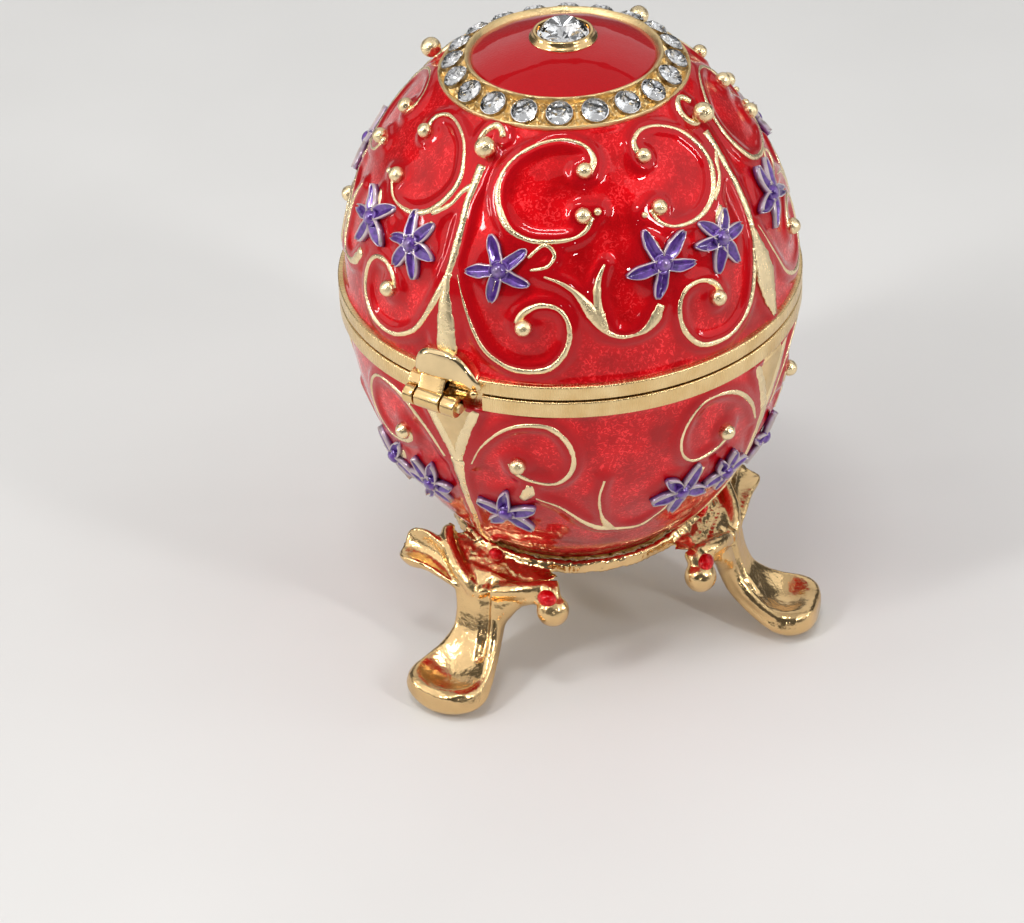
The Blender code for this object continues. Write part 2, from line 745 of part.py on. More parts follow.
clear_scene()
parts = new_collection("jewelled_egg_trinket_box")
cutters = new_collection("cutters")
red = new_material("red_enamel", (0.55, 0.0, 0.01), 0.12, 0.0)
gold = new_material("polished_gold", (0.88, 0.70, 0.38), 0.16, 1.0)
crystal = new_material("clear_crystal", (0.95, 0.97, 1.0), 0.02, 0.0, 1.0)
egg = add_empty("egg_axis", None, (0, 0, 0))
hinge = add_empty("lid_hinge", egg, HINGE_AXIS + Vector((0, 0, PARTING)))
make_half("bowl", egg, (0, 0, PARTING), bowl_outline(), bowl_cavity_outline(),
          (add_bowl_relief, add_bowl_hinge))
make_half("lid", hinge, -HINGE_AXIS, lid_outline(), lid_cavity_outline(),
          (add_lid_relief, add_lid_hinge))
make_pin()
make_stand()
make_stones()
centre_on_footprint()
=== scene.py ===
"""Finish of the jewelled egg trinket box: enamel, gold work, flowers and cut stones on its frame.

Shapes are worked out in the egg's own frame: its axis is the Z axis, and heights count from the
parting plane between the bowl and the lid. Places on the relief are given as an angle from the
middle of a panel, in degrees, and a height as a share of the egg's radius.
"""
import json
import math

import bmesh
import bpy
import numpy as np
from mathutils import Matrix, Vector, kdtree, noise


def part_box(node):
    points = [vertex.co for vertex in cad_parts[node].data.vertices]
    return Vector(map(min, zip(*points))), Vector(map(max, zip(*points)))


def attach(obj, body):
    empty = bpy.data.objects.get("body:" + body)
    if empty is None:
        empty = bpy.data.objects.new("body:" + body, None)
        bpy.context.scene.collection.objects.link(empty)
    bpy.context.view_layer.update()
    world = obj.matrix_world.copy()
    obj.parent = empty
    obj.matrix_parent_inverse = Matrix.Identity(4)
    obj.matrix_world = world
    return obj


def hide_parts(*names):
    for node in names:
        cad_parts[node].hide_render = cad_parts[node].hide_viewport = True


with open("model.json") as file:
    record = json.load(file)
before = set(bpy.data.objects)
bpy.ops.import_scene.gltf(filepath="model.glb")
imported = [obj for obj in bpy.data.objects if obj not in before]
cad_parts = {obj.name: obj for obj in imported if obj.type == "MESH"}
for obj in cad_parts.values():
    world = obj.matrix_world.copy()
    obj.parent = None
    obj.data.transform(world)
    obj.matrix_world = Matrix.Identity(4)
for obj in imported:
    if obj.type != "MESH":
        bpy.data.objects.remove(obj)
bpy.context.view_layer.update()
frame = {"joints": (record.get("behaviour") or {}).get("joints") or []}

# Sizes that the frame gives, and those of the egg's section

KNUCKLE_STANDOFF = 0.0018
HINGE_DROP = 0.0012
hinge_point = Vector(frame["joints"][0]["pos_m"])
bowl_low, bowl_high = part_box("bowl")
RADIUS = (bowl_high.x - bowl_low.x) / 2
CENTRE = Vector((hinge_point.x, hinge_point.y - RADIUS - KNUCKLE_STANDOFF,
                 hinge_point.z + HINGE_DROP))
MM = 0.001
SHELL = RADIUS - 0.8 * MM
LID_HEIGHT = 34.2 * MM
BOWL_HALF_HEIGHT = 39.0 * MM
BOWL_DEPTH = 34.0 * MM
GAP = 0.3 * MM
WALL = 1.8 * MM
LID_BAND = 1.9 * MM
BOWL_BAND = 2.2 * MM
PANELS = 4
PANEL_MIDDLE = 136.5

# Relief
ENAMEL_DEPTH = 0.45 * MM
RIDGE_RISE = 0.50 * MM
RIDGE_SPREAD = 0.86 * MM
WIRE_STEP = 0.28 * MM
WIRE_SIDES = 10
WIRE_TOP = 0.36 * MM
WIRE_ROOT = 0.5 * MM
WIRE_SEAT = 0.66
LEAF_SEAT = 0.95
LEAF_MIDDLE = 0.62
LEAF_EDGE = 0.80
RIDGE_REACH = 3.2
FLOWER_BANK = 1.6 * MM
FLOWER_FOOT = 0.55
EDGE_SPREAD = 0.7 * MM
ENAMEL_WAVES = ((190.0, 0.09), (420.0, 0.03))
PANEL_COLUMNS = 150
ROWS = 118
DOME_ROWS = 22
INNER_ROWS = 6
COLUMNS = PANELS * PANEL_COLUMNS

# Stones
RING_RADIUS = 13.4 * MM
RING_STONES = 20
RING_STONE = 3.1 * MM
RING_TURN = -6.0
RING_STONE_CROWN = 0.5 * MM
RING_STONE_DEPTH = 0.9 * MM
RING_GIRDLE = 0.70 * MM
CROWN_STONE = 6.0 * MM
CROWN_STONE_CROWN = 1.33 * MM
CROWN_STONE_DEPTH = 1.4 * MM
CROWN_GIRDLE = 0.35 * MM
FOIL_EDGE = -0.10 * MM
FOIL_SIDES = 16
TABLE = 0.58
GIRDLE = 0.04 * MM

rng = np.random.default_rng(7)


# Meshes

class Piece:
    """Points and faces of one mesh, with a value for each point that a material can read."""

    def __init__(self):
        self.points = []
        self.faces = []
        self.values = []

    def add(self, points, faces, values=None):
        start = len(self.points)
        self.points.extend(tuple(point) for point in points)
        self.faces.extend(tuple(start + i for i in face) for face in faces)
        self.values.extend([0.0] * len(points) if values is None else values)

    def add_rings(self, rings, torus=False, values=None):
        """Loft through rings of equal length; its ends are closed by faces, or by each other."""
        count, size = len(rings), len(rings[0])
        faces = []
        for i in range(count if torus else count - 1):
            k = (i + 1) % count
            for j in range(size):
                m = (j + 1) % size
                faces.append((i * size + j, i * size + m, k * size + m, k * size + j))
        if not torus:
            faces.append(tuple(range(size)))
            faces.append(tuple(range((count - 1) * size, count * size)))
        self.add([point for ring in rings for point in ring], faces, values)

    def build(self, name, material, body, slot):
        mesh = bpy.data.meshes.new(name)
        mesh.from_pydata(self.points, [], self.faces)
        attribute = mesh.attributes.new("edge", "FLOAT", "POINT")
        attribute.data.foreach_set("value", np.array(self.values, np.float32))
        shape = bmesh.new()
        shape.from_mesh(mesh)
        bmesh.ops.recalc_face_normals(shape, faces=shape.faces)
        shape.to_mesh(mesh)
        shape.free()
        mesh.polygons.foreach_set("use_smooth", [True] * len(mesh.polygons))
        return show(name, mesh, material, body)


def show(name, mesh, material, body):
    """Puts a mesh of the egg's frame in its place on a body."""
    obj = bpy.data.objects.new(name, mesh)
    bpy.context.scene.collection.objects.link(obj)
    obj.location = CENTRE
    mesh.materials.clear()
    mesh.materials.append(material)
    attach(obj, body)
    return obj


def sharpen(obj, angle):
    obj.data.set_sharp_from_angle(angle=math.radians(angle))


# The egg's surface

def egg_surface(theta, height, lift=0.0):
    """Points and outward normals at polar angles in degrees and heights in metres."""
    theta, height, lift = np.broadcast_arrays(np.radians(theta), height, lift)
    half = np.where(height >= 0, LID_HEIGHT, BOWL_HALF_HEIGHT)
    radius = SHELL * np.sqrt(np.maximum(0.0, 1.0 - (height / half) ** 2))
    out = radius / SHELL ** 2
    normal = np.stack([out * np.cos(theta), out * np.sin(theta), height / half ** 2], -1)
    normal /= np.linalg.norm(normal, axis=-1, keepdims=True)
    point = np.stack([radius * np.cos(theta), radius * np.sin(theta), height], -1)
    return point + normal * lift[..., None], normal


def section_points(half_height, start, finish, steps, lift=0.0):
    """(radius, height) along the egg's section between two heights, evenly spaced by slope."""
    slopes = np.linspace(math.asin(start / half_height), math.asin(finish / half_height), steps)
    out, up = np.cos(slopes) / SHELL, np.sin(slopes) / half_height
    length = np.hypot(out, up)
    return [(SHELL * math.cos(s) + lift * o / n, half_height * math.sin(s) + lift * u / n)
            for s, o, u, n in zip(slopes, out, up, length)]


def turned(profile, columns):
    """Rings of a turned shape from (radius, height) points."""
    angles = np.linspace(0.0, 2 * math.pi, columns, endpoint=False)
    return [np.stack([r * np.cos(angles), r * np.sin(angles), np.full(columns, z)], -1)
            for r, z in profile]


def smooth_path(points, step):
    """Catmull-Rom curve through the points, with points evenly spaced by about a step."""
    points = np.asarray(points, float)
    ends = np.vstack([2 * points[0] - points[1], points, 2 * points[-1] - points[-2]])
    fine = []
    for i in range(len(points) - 1):
        before, start, end, after = ends[i:i + 4]
        t = np.linspace(0.0, 1.0, 16, endpoint=False)[:, None]
        fine.append(0.5 * (2 * start + (end - before) * t
                           + (2 * before - 5 * start + 4 * end - after) * t ** 2
                           + (3 * start - before - 3 * end + after) * t ** 3))
    fine = np.vstack(fine + [points[-1:]])
    length = np.concatenate([[0.0], np.cumsum(np.linalg.norm(np.diff(fine, axis=0), axis=1))])
    count = max(4, int(length[-1] / step) + 1)
    at = np.linspace(0.0, length[-1], count)
    return np.stack([np.interp(at, length, fine[:, k]) for k in range(fine.shape[1])], -1)


# Relief of one panel: gold wires, balls and flowers

class Wire:
    """A gold wire: its route, its widths in mm, its height, and whether its back is dished."""

    def __init__(self, route, widths, rise=1.0, dished=False):
        self.route = route
        self.widths = np.array(widths) * MM
        self.rise = rise
        self.dished = dished

    def mirrored(self, widths):
        return Wire([(-u, z) for u, z in self.route], widths, self.rise, self.dished)

    def path(self, middle):
        """Points, normals and widths on the egg, for a panel whose middle is at that angle."""
        route = np.array(self.route, float)
        flat, _ = egg_surface(middle + route[:, 0], route[:, 1] * RADIUS)
        points = smooth_path(flat, WIRE_STEP)
        theta = np.degrees(np.arctan2(points[:, 1], points[:, 0]))
        points, normals = egg_surface(theta, points[:, 2])
        at = np.linspace(0.0, 1.0, len(points))
        widths = np.interp(at, np.linspace(0.0, 1.0, len(self.widths)), self.widths)
        return points, normals, widths


SCROLL_WIDTHS = (1.1, 0.6, 0.5, 0.55, 0.7, 0.85, 0.9, 0.8, 0.6, 0.5, 0.7)
CURL_WIDTHS = (1.2, 1.0, 0.8, 0.7, 0.75, 0.8, 0.75, 0.65, 0.7, 1.0)
THIN_CURL_WIDTHS = (0.3, 0.4, 0.5, 0.6, 0.8, 0.85, 0.75, 0.65, 0.75, 1.0)
SCROLL_LEFT = Wire([(-6.0, 0.862), (-3.6, 0.895), (-5.2, 0.930), (-9.9, 0.951), (-16.1, 0.958),
                    (-24.4, 0.945), (-32.0, 0.907), (-35.9, 0.855), (-36.4, 0.790),
                    (-34.3, 0.730), (-30.7, 0.676), (-25.0, 0.647), (-19.1, 0.643),
                    (-12.6, 0.653), (-8.6, 0.679), (-6.4, 0.722)], SCROLL_WIDTHS)
SCROLL_RIGHT = Wire([(14.8, 0.872), (13.2, 0.905), (14.1, 0.931), (19.1, 0.951), (27.0, 0.943),
                     (34.7, 0.905), (38.6, 0.839), (39.0, 0.782), (36.6, 0.723),
                     (32.9, 0.672), (28.2, 0.640), (22.9, 0.628), (17.0, 0.636),
                     (13.2, 0.668), (11.6, 0.712)], SCROLL_WIDTHS)
LID_CURL = Wire([(43.8, 0.480), (40.0, 0.340), (36.0, 0.220), (31.7, 0.160), (26.6, 0.130),
                 (20.1, 0.140), (16.3, 0.190), (14.2, 0.265), (14.4, 0.345), (17.0, 0.398),
                 (21.5, 0.408), (25.4, 0.375), (26.8, 0.330)], CURL_WIDTHS)
VINE = Wire([(-20.3, 0.518), (-16.2, 0.497), (-12.3, 0.458), (-9.1, 0.395), (-6.8, 0.332),
             (-4.4, 0.288), (-1.0, 0.265), (3.7, 0.273), (6.9, 0.308), (9.4, 0.365)],
            (0.35, 0.5, 0.7, 1.3, 1.7, 1.1, 0.6, 0.6, 0.9, 1.7, 1.2))
BRANCH = Wire([(-4.3, 0.555), (-6.0, 0.508), (-6.8, 0.452), (-6.6, 0.372), (-5.3, 0.300)],
              (0.35, 0.8, 1.1, 1.5, 1.1))
SIDE_STRAND = Wire([(45.0, 0.800), (41.6, 0.765), (39.6, 0.722), (36.8, 0.690), (33.5, 0.664)],
                   (0.7, 0.7, 0.6, 0.7, 0.9))
STEM_TOP = Wire([(45.4, 0.860), (45.0, 0.800), (44.4, 0.740), (44.6, 0.667), (44.2, 0.560),
                 (43.4, 0.470)], (1.4, 1.1, 1.0, 1.1, 1.2, 1.0))
STEM_LEAF = Wire([(43.2, 0.490), (43.4, 0.410), (43.6, 0.330), (43.7, 0.260), (44.0, 0.190),
                  (44.8, 0.130), (45.3, 0.085)], (0.7, 2.0, 3.4, 4.0, 3.5, 1.9, 0.6), 0.9, True)
HINGE_STEM = Wire([(43.2, 0.490), (43.4, 0.410), (43.8, 0.330), (44.4, 0.260), (44.8, 0.190),
                   (45.2, 0.085)], (0.7, 1.3, 2.2, 2.9, 2.8, 2.9), 1.1)
HINGE_PANEL = 3
HOOK = Wire([(50.0, 0.950), (48.0, 0.970), (45.0, 0.975), (41.6, 0.955), (40.9, 0.922),
             (43.5, 0.898), (46.2, 0.900)], (0.9, 1.0, 0.9, 0.8, 0.9, 1.2), 1.6)
KNOB = (46.4, 0.905, 1.30, 1.75)
KNOB_STALK = (1.9, 1.6, 1.3, 1.2, 1.3, 1.5)
LEAF_TIPS = (Wire([(9.0, 0.625), (9.9, 0.600), (11.0, 0.560)], (0.3, 1.3, 1.2)),
             Wire([(34.8, 0.635), (33.6, 0.605), (32.0, 0.575)], (0.5, 1.7, 1.5)),
             Wire([(-34.0, 0.425), (-33.4, 0.455), (-32.6, 0.490)], (0.3, 1.2, 1.0)))
LOOP = Wire([(-24.8, 0.585), (-20.5, 0.632), (-17.6, 0.600), (-19.4, 0.556), (-24.0, 0.540)],
            (0.4, 0.50, 0.55, 0.50, 0.4), 1.1)
LID_WIRES = (SCROLL_LEFT, SCROLL_RIGHT, LID_CURL, LID_CURL.mirrored(THIN_CURL_WIDTHS), VINE,
             BRANCH, SIDE_STRAND, STEM_TOP, STEM_LEAF, HOOK, LOOP, *LEAF_TIPS)
LID_BALLS = ((-7.6, 0.866, 1.0), (-9.2, 0.728, 1.0), (-4.7, 0.737, 0.5), (14.7, 0.878, 0.95),
             (14.2, 0.712, 1.0), (9.2, 0.700, 0.4), (25.2, 0.318, 1.05), (-25.2, 0.318, 1.05))
LID_FLOWERS = ((-32.1, 0.530, 5, 44.0, 1.0), (11.2, 0.520, 5, 45.0, 1.0),
               (30.3, 0.530, 6, -2.0, 0.9))

BOWL_CURL = Wire([(41.0, -0.400), (37.3, -0.285), (31.6, -0.181), (26.1, -0.136), (19.9, -0.136),
                  (15.8, -0.202), (13.9, -0.297), (15.0, -0.391), (19.0, -0.450),
                  (25.0, -0.440), (29.0, -0.400), (29.8, -0.350)],
                 (0.5, 0.7, 0.8, 0.8, 0.6, 0.5, 0.6, 0.6, 0.5, 0.5, 0.7, 1.0))
BOWL_VINE = Wire([(-24.4, -0.550), (-18.0, -0.605), (-11.3, -0.717), (-5.5, -0.772),
                  (5.5, -0.800), (11.0, -0.740), (14.5, -0.680)],
                 (0.35, 0.45, 0.6, 1.1, 0.6, 0.5, 0.6))
BOWL_BRANCH = Wire([(-6.2, -0.444), (-7.4, -0.552), (-6.3, -0.688), (-3.4, -0.780)],
                   (0.35, 0.5, 0.6, 1.4))
WEDGE_RIGHT = Wire([(52.3, -0.095), (49.5, -0.200), (46.8, -0.310), (45.0, -0.400)],
                   (1.4, 1.5, 1.7, 1.6))
WEDGE_LEFT = Wire([(37.7, -0.095), (40.5, -0.200), (43.2, -0.310), (45.0, -0.400)],
                  (1.4, 1.5, 1.7, 1.6))
BOWL_STEM = Wire([(45.0, -0.390), (44.6, -0.480), (44.4, -0.620), (43.5, -0.780),
                  (40.0, -0.930), (35.5, -1.060)], (2.2, 1.3, 1.0, 0.9, 0.9, 0.8))
BOWL_TIPS = (Wire([(-25.6, -0.470), (-26.0, -0.510), (-28.0, -0.560)], (1.0, 1.9, 1.2)),
             Wire([(23.0, -0.520), (21.5, -0.560), (19.0, -0.585)], (0.5, 1.3, 1.0)))
BOWL_WIRES = (BOWL_CURL, BOWL_CURL.mirrored(THIN_CURL_WIDTHS), BOWL_VINE, BOWL_BRANCH,
              WEDGE_RIGHT, WEDGE_LEFT, BOWL_STEM, *BOWL_TIPS)
BOWL_BALLS = ((28.0, -0.350, 1.05), (-28.0, -0.350, 1.05))
BOWL_FLOWERS = ((-33.6, -0.655, 5, 20.0, 0.95), (16.3, -0.602, 5, 50.0, 0.95),
                (32.5, -0.616, 6, 10.0, 0.9))
FLOWER_REACH = 4.7 * MM


def panel_middles():
    return [PANEL_MIDDLE + 360.0 / PANELS * i for i in range(PANELS)]


def add_wire(piece, points, normals, widths, rise, dished):
    """A wire half sunk in the enamel, with a rounded back or, for a leaf, a dished one."""
    along = np.gradient(points, axis=0)
    along /= np.linalg.norm(along, axis=1, keepdims=True)
    across = np.cross(normals, along)
    across /= np.linalg.norm(across, axis=1, keepdims=True)
    seat = LEAF_SEAT if dished else WIRE_SEAT
    rings = []
    for point, normal, side, width in zip(points, normals, across, widths):
        spot = Vector(point)
        wobble = 1.0 + 0.14 * noise.noise(spot * 700.0) + 0.12 * noise.noise(spot * 2200.0)
        base = point + normal * RIDGE_RISE * seat
        top = WIRE_TOP * rise * min(1.0, 0.5 + 0.5 * width / MM)
        ring = []
        for j in range(WIRE_SIDES):
            angle = 2 * math.pi * j / WIRE_SIDES
            x, y = math.cos(angle), math.sin(angle)
            if dished and y > 0:
                y = LEAF_MIDDLE + (1.0 - LEAF_MIDDLE) * x ** 2 if abs(x) < 0.9 else LEAF_EDGE
            up = top if y > 0 else WIRE_ROOT
            ring.append(base + side * x * width / 2 * wobble + normal * y * up * wobble)
        rings.append(ring)
    piece.add_rings(rings)


def add_ball(piece, centre, radius, segments=16, rows=9):
    """A ball, a little uneven like a cast one."""
    rings = []
    for i in range(rows):
        tilt = math.pi * (i + 0.35) / (rows - 0.3)
        ring = []
        for j in range(segments):
            turn = 2 * math.pi * j / segments
            aim = Vector((math.sin(tilt) * math.cos(turn), math.sin(tilt) * math.sin(turn),
                          math.cos(tilt)))
            bump = 1.0 + 0.04 * noise.noise((Vector(centre) + aim * radius) * 700.0)
            ring.append(Vector(centre) + aim * radius * bump)
        rings.append(ring)
    piece.add_rings(rings)


def make_gold_work(name, wires, balls, material, body):
    """Wires and balls of every panel; on the lid a knob on a stalk stands between panels."""
    piece = Piece()
    for panel, middle in enumerate(panel_middles()):
        for wire in wires:
            if wire is STEM_LEAF and panel == HINGE_PANEL:
                wire = HINGE_STEM
            points, normals, widths = wire.path(middle)
            add_wire(piece, points, normals, widths, wire.rise, wire.dished)
        for u, z, size in balls:
            centre, _ = egg_surface(middle + u, z * RADIUS, RIDGE_RISE + size * 0.25 * MM)
            add_ball(piece, centre, size * MM)
        if body == "lid":
            u, z, size, lift = KNOB
            base, normal = egg_surface(middle + u, z * RADIUS)
            points = base + normal * np.linspace(-0.2, lift, len(KNOB_STALK))[:, None] * MM
            add_stalk(piece, points, normal, np.array(KNOB_STALK) * MM)
            add_ball(piece, points[-1], size * MM, 22, 13)
    piece.build(name, material, body, "polished_gold")


def add_stalk(piece, points, axis, widths):
    """A round stalk along a straight axis."""
    across = np.cross(axis, (0.0, 0.0, 1.0))
    across /= np.linalg.norm(across)
    upward = np.cross(axis, across)
    piece.add_rings([[point + (across * math.cos(a) + upward * math.sin(a)) * width / 2
                      for a in np.linspace(0, 2 * math.pi, 16, endpoint=False)]
                     for point, width in zip(points, widths)])


WEDGE_ACROSS = 9
WEDGE_PROUD = 0.05 * MM
WEDGE_SUNK = 0.2 * MM


def make_wedges(material):
    """Rough plates that fill the fork under the band, between its two bars."""
    piece = Piece()
    for middle in panel_middles():
        left = WEDGE_LEFT.path(middle)[0]
        right = WEDGE_RIGHT.path(middle)[0]
        count = min(len(left), len(right))
        rings = []
        for i in range(0, count, 2):
            at = np.linspace(0.0, 1.0, WEDGE_ACROSS)[:, None]
            row = left[i] * (1 - at) + right[i] * at
            theta = np.degrees(np.arctan2(row[:, 1], row[:, 0]))
            top, _ = egg_surface(theta, row[:, 2], RIDGE_RISE + WEDGE_PROUD)
            under, _ = egg_surface(theta[::-1], row[::-1, 2], -WEDGE_SUNK)
            rings.append(list(top) + list(under))
        piece.add_rings(rings)
    piece.build("bowl_wedges", material, "base", "polished_gold")


# Enamel

def panel_relief(heights, wires, balls, flowers):
    """Height of the enamel over the shell for one panel, as rows by columns."""
    columns = (np.arange(PANEL_COLUMNS) / PANEL_COLUMNS - 0.5) * 360.0 / PANELS
    grid, _ = egg_surface(columns[None, :], heights[:, None])
    bare = np.ones(grid.shape[:2])
    spots = []
    for turn in (-90.0, 0.0, 90.0):
        for wire in wires:
            points, _, widths = wire.path(turn)
            spots.append((points, widths / 2, RIDGE_SPREAD, 1.0))
        for u, z, size in balls:
            point, _ = egg_surface(turn + u, z * RADIUS)
            spots.append((point[None, :], np.array([size * MM]), RIDGE_SPREAD, 0.9))
        for u, z, _, _, _ in flowers:
            point, _ = egg_surface(turn + u, z * RADIUS)
            spots.append((point[None, :], np.array([FLOWER_REACH * FLOWER_FOOT]),
                          FLOWER_BANK, 0.8))
    for points, half_widths, spread, share in spots:
        reach = float(np.max(half_widths)) + RIDGE_REACH * spread
        tree = kdtree.KDTree(len(points))
        for i, point in enumerate(points):
            tree.insert(point, i)
        tree.balance()
        low, high = points.min(0) - reach, points.max(0) + reach
        near = np.all((grid > low) & (grid < high), axis=-1)
        for i, j in zip(*np.nonzero(near)):
            _, index, distance = tree.find(grid[i, j])
            beyond = max(0.0, distance - half_widths[index])
            if beyond < RIDGE_REACH * spread:
                bare[i, j] *= 1.0 - share / (1.0 + (beyond / spread) ** 4)
    return (1.0 - bare) * RIDGE_RISE


def undulation(points):
    """Slow unevenness of the fired surface."""
    rise = np.empty(points.shape[:2])
    for i in range(points.shape[0]):
        for j in range(points.shape[1]):
            spot = Vector(points[i, j])
            rise[i, j] = sum(noise.noise(spot * scale) * height for scale, height in ENAMEL_WAVES)
    return rise * MM


def make_enamel(piece, half_height, start, finish, rows, relief=None, edge_rise=0.25 * MM):
    """A thin shell of enamel between two heights, with its upper face in relief."""
    slopes = np.linspace(math.asin(start / half_height), math.asin(finish / half_height), rows)
    heights = half_height * np.sin(slopes)
    theta = PANEL_MIDDLE - 45.0 + np.arange(COLUMNS) * 360.0 / COLUMNS
    lift = np.zeros((rows, COLUMNS))
    share = np.ones((rows, COLUMNS))
    if relief:
        lift += np.tile(panel_relief(heights, *relief), (1, PANELS))
        share = np.clip(lift / RIDGE_RISE, 0.0, 1.0)
    flat, _ = egg_surface(theta[None, :], heights[:, None])
    lift += undulation(flat)
    run = np.concatenate([[0.0], np.cumsum(np.linalg.norm(np.diff(flat[:, 0], axis=0), axis=1))])
    from_edge = np.minimum(run, run[-1] - run)
    lift += (edge_rise * np.exp(-(from_edge / EDGE_SPREAD) ** 2))[:, None]
    outer, _ = egg_surface(theta[None, :], heights[:, None], lift)
    inner = [egg_surface(theta, heights[i], -ENAMEL_DEPTH)[0]
             for i in np.linspace(rows - 1, 0, INNER_ROWS).astype(int)]
    values = np.concatenate([share.ravel(), np.zeros(INNER_ROWS * COLUMNS)])
    piece.add_rings(list(outer) + inner, torus=True, values=list(values))


# Flowers, with heights over the enamel in mm

PETAL_START = 0.7 * MM
PETAL_HALF = 1.16 * MM
PETAL_LEVEL = 0.62
PETAL_GROOVE = 0.34
PETAL_RIM = 0.42
PETAL_DEPTH = 0.5
PETAL_UNDERSIDE = (1.08, 0.4, -0.4, -1.08)
PETAL_JITTER = 6.0
# Each ring of a flower's eye: radius, height and how pale it is painted, a painted highlight on the
# eye's rim and dome
EYE = ((1.32, 0.25, 0.0), (1.30, 0.76, 0.2), (1.14, 0.86, 0.35), (1.00, 0.76, 0.0),
       (0.92, 0.80, 0.0), (0.84, 1.12, 0.15), (0.60, 1.36, 0.3), (0.30, 1.48, 0.4),
       (0.05, 1.51, 0.4))
EYE_SIDES = 20


def add_petal(piece, origin, aim, side, normal, length, bend, tip_lift):
    """A pointed strap with raised edges and a groove along its middle."""
    rings, values = [], []
    across = np.linspace(-1.0, 1.0, 9)
    for s in np.linspace(0.0, 0.97, 10):
        reach = PETAL_START + (length - PETAL_START) * s
        uneven = 1.0 + 0.22 * noise.noise((origin + aim * reach) * 800.0)
        half = PETAL_HALF * (1.0 - s) ** 0.62 * (0.60 + 0.80 * s) * uneven
        middle = (origin + aim * reach + side * bend * s ** 2
                  - normal * (reach ** 2 / (2 * RADIUS)))
        level = (PETAL_LEVEL - 0.25 * s + tip_lift * s ** 2) * MM
        ring = []
        for v in across:
            groove = -PETAL_GROOVE * math.exp(-(v / 0.28) ** 2) * (1 - s)
            rim = PETAL_RIM * abs(v) ** 2.5 * uneven
            ring.append(middle + side * v * half + normal * (level + (rim + groove) * MM))
            # Paleness: the petal's edges and tip, partly its gold rim and partly a painted highlight;
            # the underside stays dark.
            values.append(min(1.0, abs(v) ** 12 + max(0.0, (s - 0.84) / 0.2)))
        for v in PETAL_UNDERSIDE:
            ring.append(middle + side * v * half + normal * (level - PETAL_DEPTH * MM))
            values.append(0.2)
        rings.append(ring)
    piece.add_rings(rings, values=values)


def add_flower(piece, theta, height, petals, turned_by, size):
    """Petals about a raised round eye."""
    centre, normal = egg_surface(theta, height, RIDGE_RISE * 0.7)
    normal = Vector(normal)
    centre = Vector(centre)
    across = Vector((0, 0, 1)).cross(normal).normalized()
    upward = normal.cross(across)
    for i in range(petals):
        angle = math.radians(turned_by + 360.0 * i / petals + rng.uniform(-PETAL_JITTER, PETAL_JITTER))
        aim = across * math.cos(angle) + upward * math.sin(angle)
        side = normal.cross(aim)
        length = FLOWER_REACH * size * rng.uniform(0.86, 1.06)
        add_petal(piece, centre, aim, side, normal, length, rng.uniform(-1.0, 1.0) * MM,
                  rng.uniform(-0.2, 0.5))
    turns = np.linspace(0, 2 * math.pi, EYE_SIDES, endpoint=False)
    rings = []
    for radius, level, _ in EYE:
        rings.append([centre + (across * math.cos(a) + upward * math.sin(a)) * radius * MM
                      + normal * level * MM for a in turns])
    # The eye's paleness is a painted highlight on its rim and dome.
    values = [value for _, _, value in EYE for _ in turns]
    piece.add_rings(rings, values=values)


def make_flowers(name, flowers, material, body):
    piece = Piece()
    for middle in panel_middles():
        for u, z, petals, turned_by, size in flowers:
            add_flower(piece, middle + u, z * RADIUS, petals, turned_by, size)
    piece.build(name, material, body, "violet_enamel")


# Cast halves, bands and settings

def make_turned(name, profile, columns, material, body, torus=False, notch=None):
    """A turned gold piece, with a shallow notch between two angles where one is given."""
    piece = Piece()
    rings = turned(profile, columns)
    if notch:
        for ring in rings:
            angles = np.degrees(np.arctan2(ring[:, 1], ring[:, 0]))
            inside = (angles > notch[0]) & (angles < notch[1])
            reach = np.hypot(ring[:, 0], ring[:, 1])
            cut = np.minimum(1.0, (RADIUS - NOTCH_DEPTH) / reach)
            ring[inside, :2] *= cut[inside, None]
    piece.add_rings(rings, torus=torus)
    obj = piece.build(name, material, body, "polished_gold")
    sharpen(obj, 40)
    return obj


def rounded(corners, radius, steps=4):
    """Rounds the corners of an open chain of (radius, height) points, apart from its ends."""
    path = [corners[0]]
    for before, corner, after in zip(corners, corners[1:], corners[2:]):
        corner = np.array(corner)
        start = np.array(before) - corner
        finish = np.array(after) - corner
        cut = min(radius, np.linalg.norm(start) / 2, np.linalg.norm(finish) / 2)
        start = corner + start / np.linalg.norm(start) * cut
        finish = corner + finish / np.linalg.norm(finish) * cut
        for t in np.linspace(0.0, 1.0, steps):
            path.append(tuple((1 - t) ** 2 * start + 2 * t * (1 - t) * corner + t ** 2 * finish))
    path.append(corners[-1])
    return path


def ring_seat():
    """Centre, outward tangent and normal of the ring of stones in the lid's section."""
    slope = math.acos(RING_RADIUS / SHELL)
    centre = np.array([RING_RADIUS, LID_HEIGHT * math.sin(slope)])
    normal = np.array([centre[0] / SHELL ** 2, centre[1] / LID_HEIGHT ** 2])
    normal /= np.linalg.norm(normal)
    return centre, np.array([normal[1], -normal[0]]), normal


RING_HALF = RING_STONE / 2 + GAP + 0.4 * MM
RING_PROUD = 0.7 * MM
RING_FLOOR = -0.35 * MM
RING_COLUMNS = RING_STONES * 28
RING_ACROSS = 41
RING_RIM = 0.55
SEAT_RADIUS = 1.72
SEAT_RISE = 0.55 * MM
PRONG_RISE = 0.75 * MM
PRONG_PLACE = 1.05


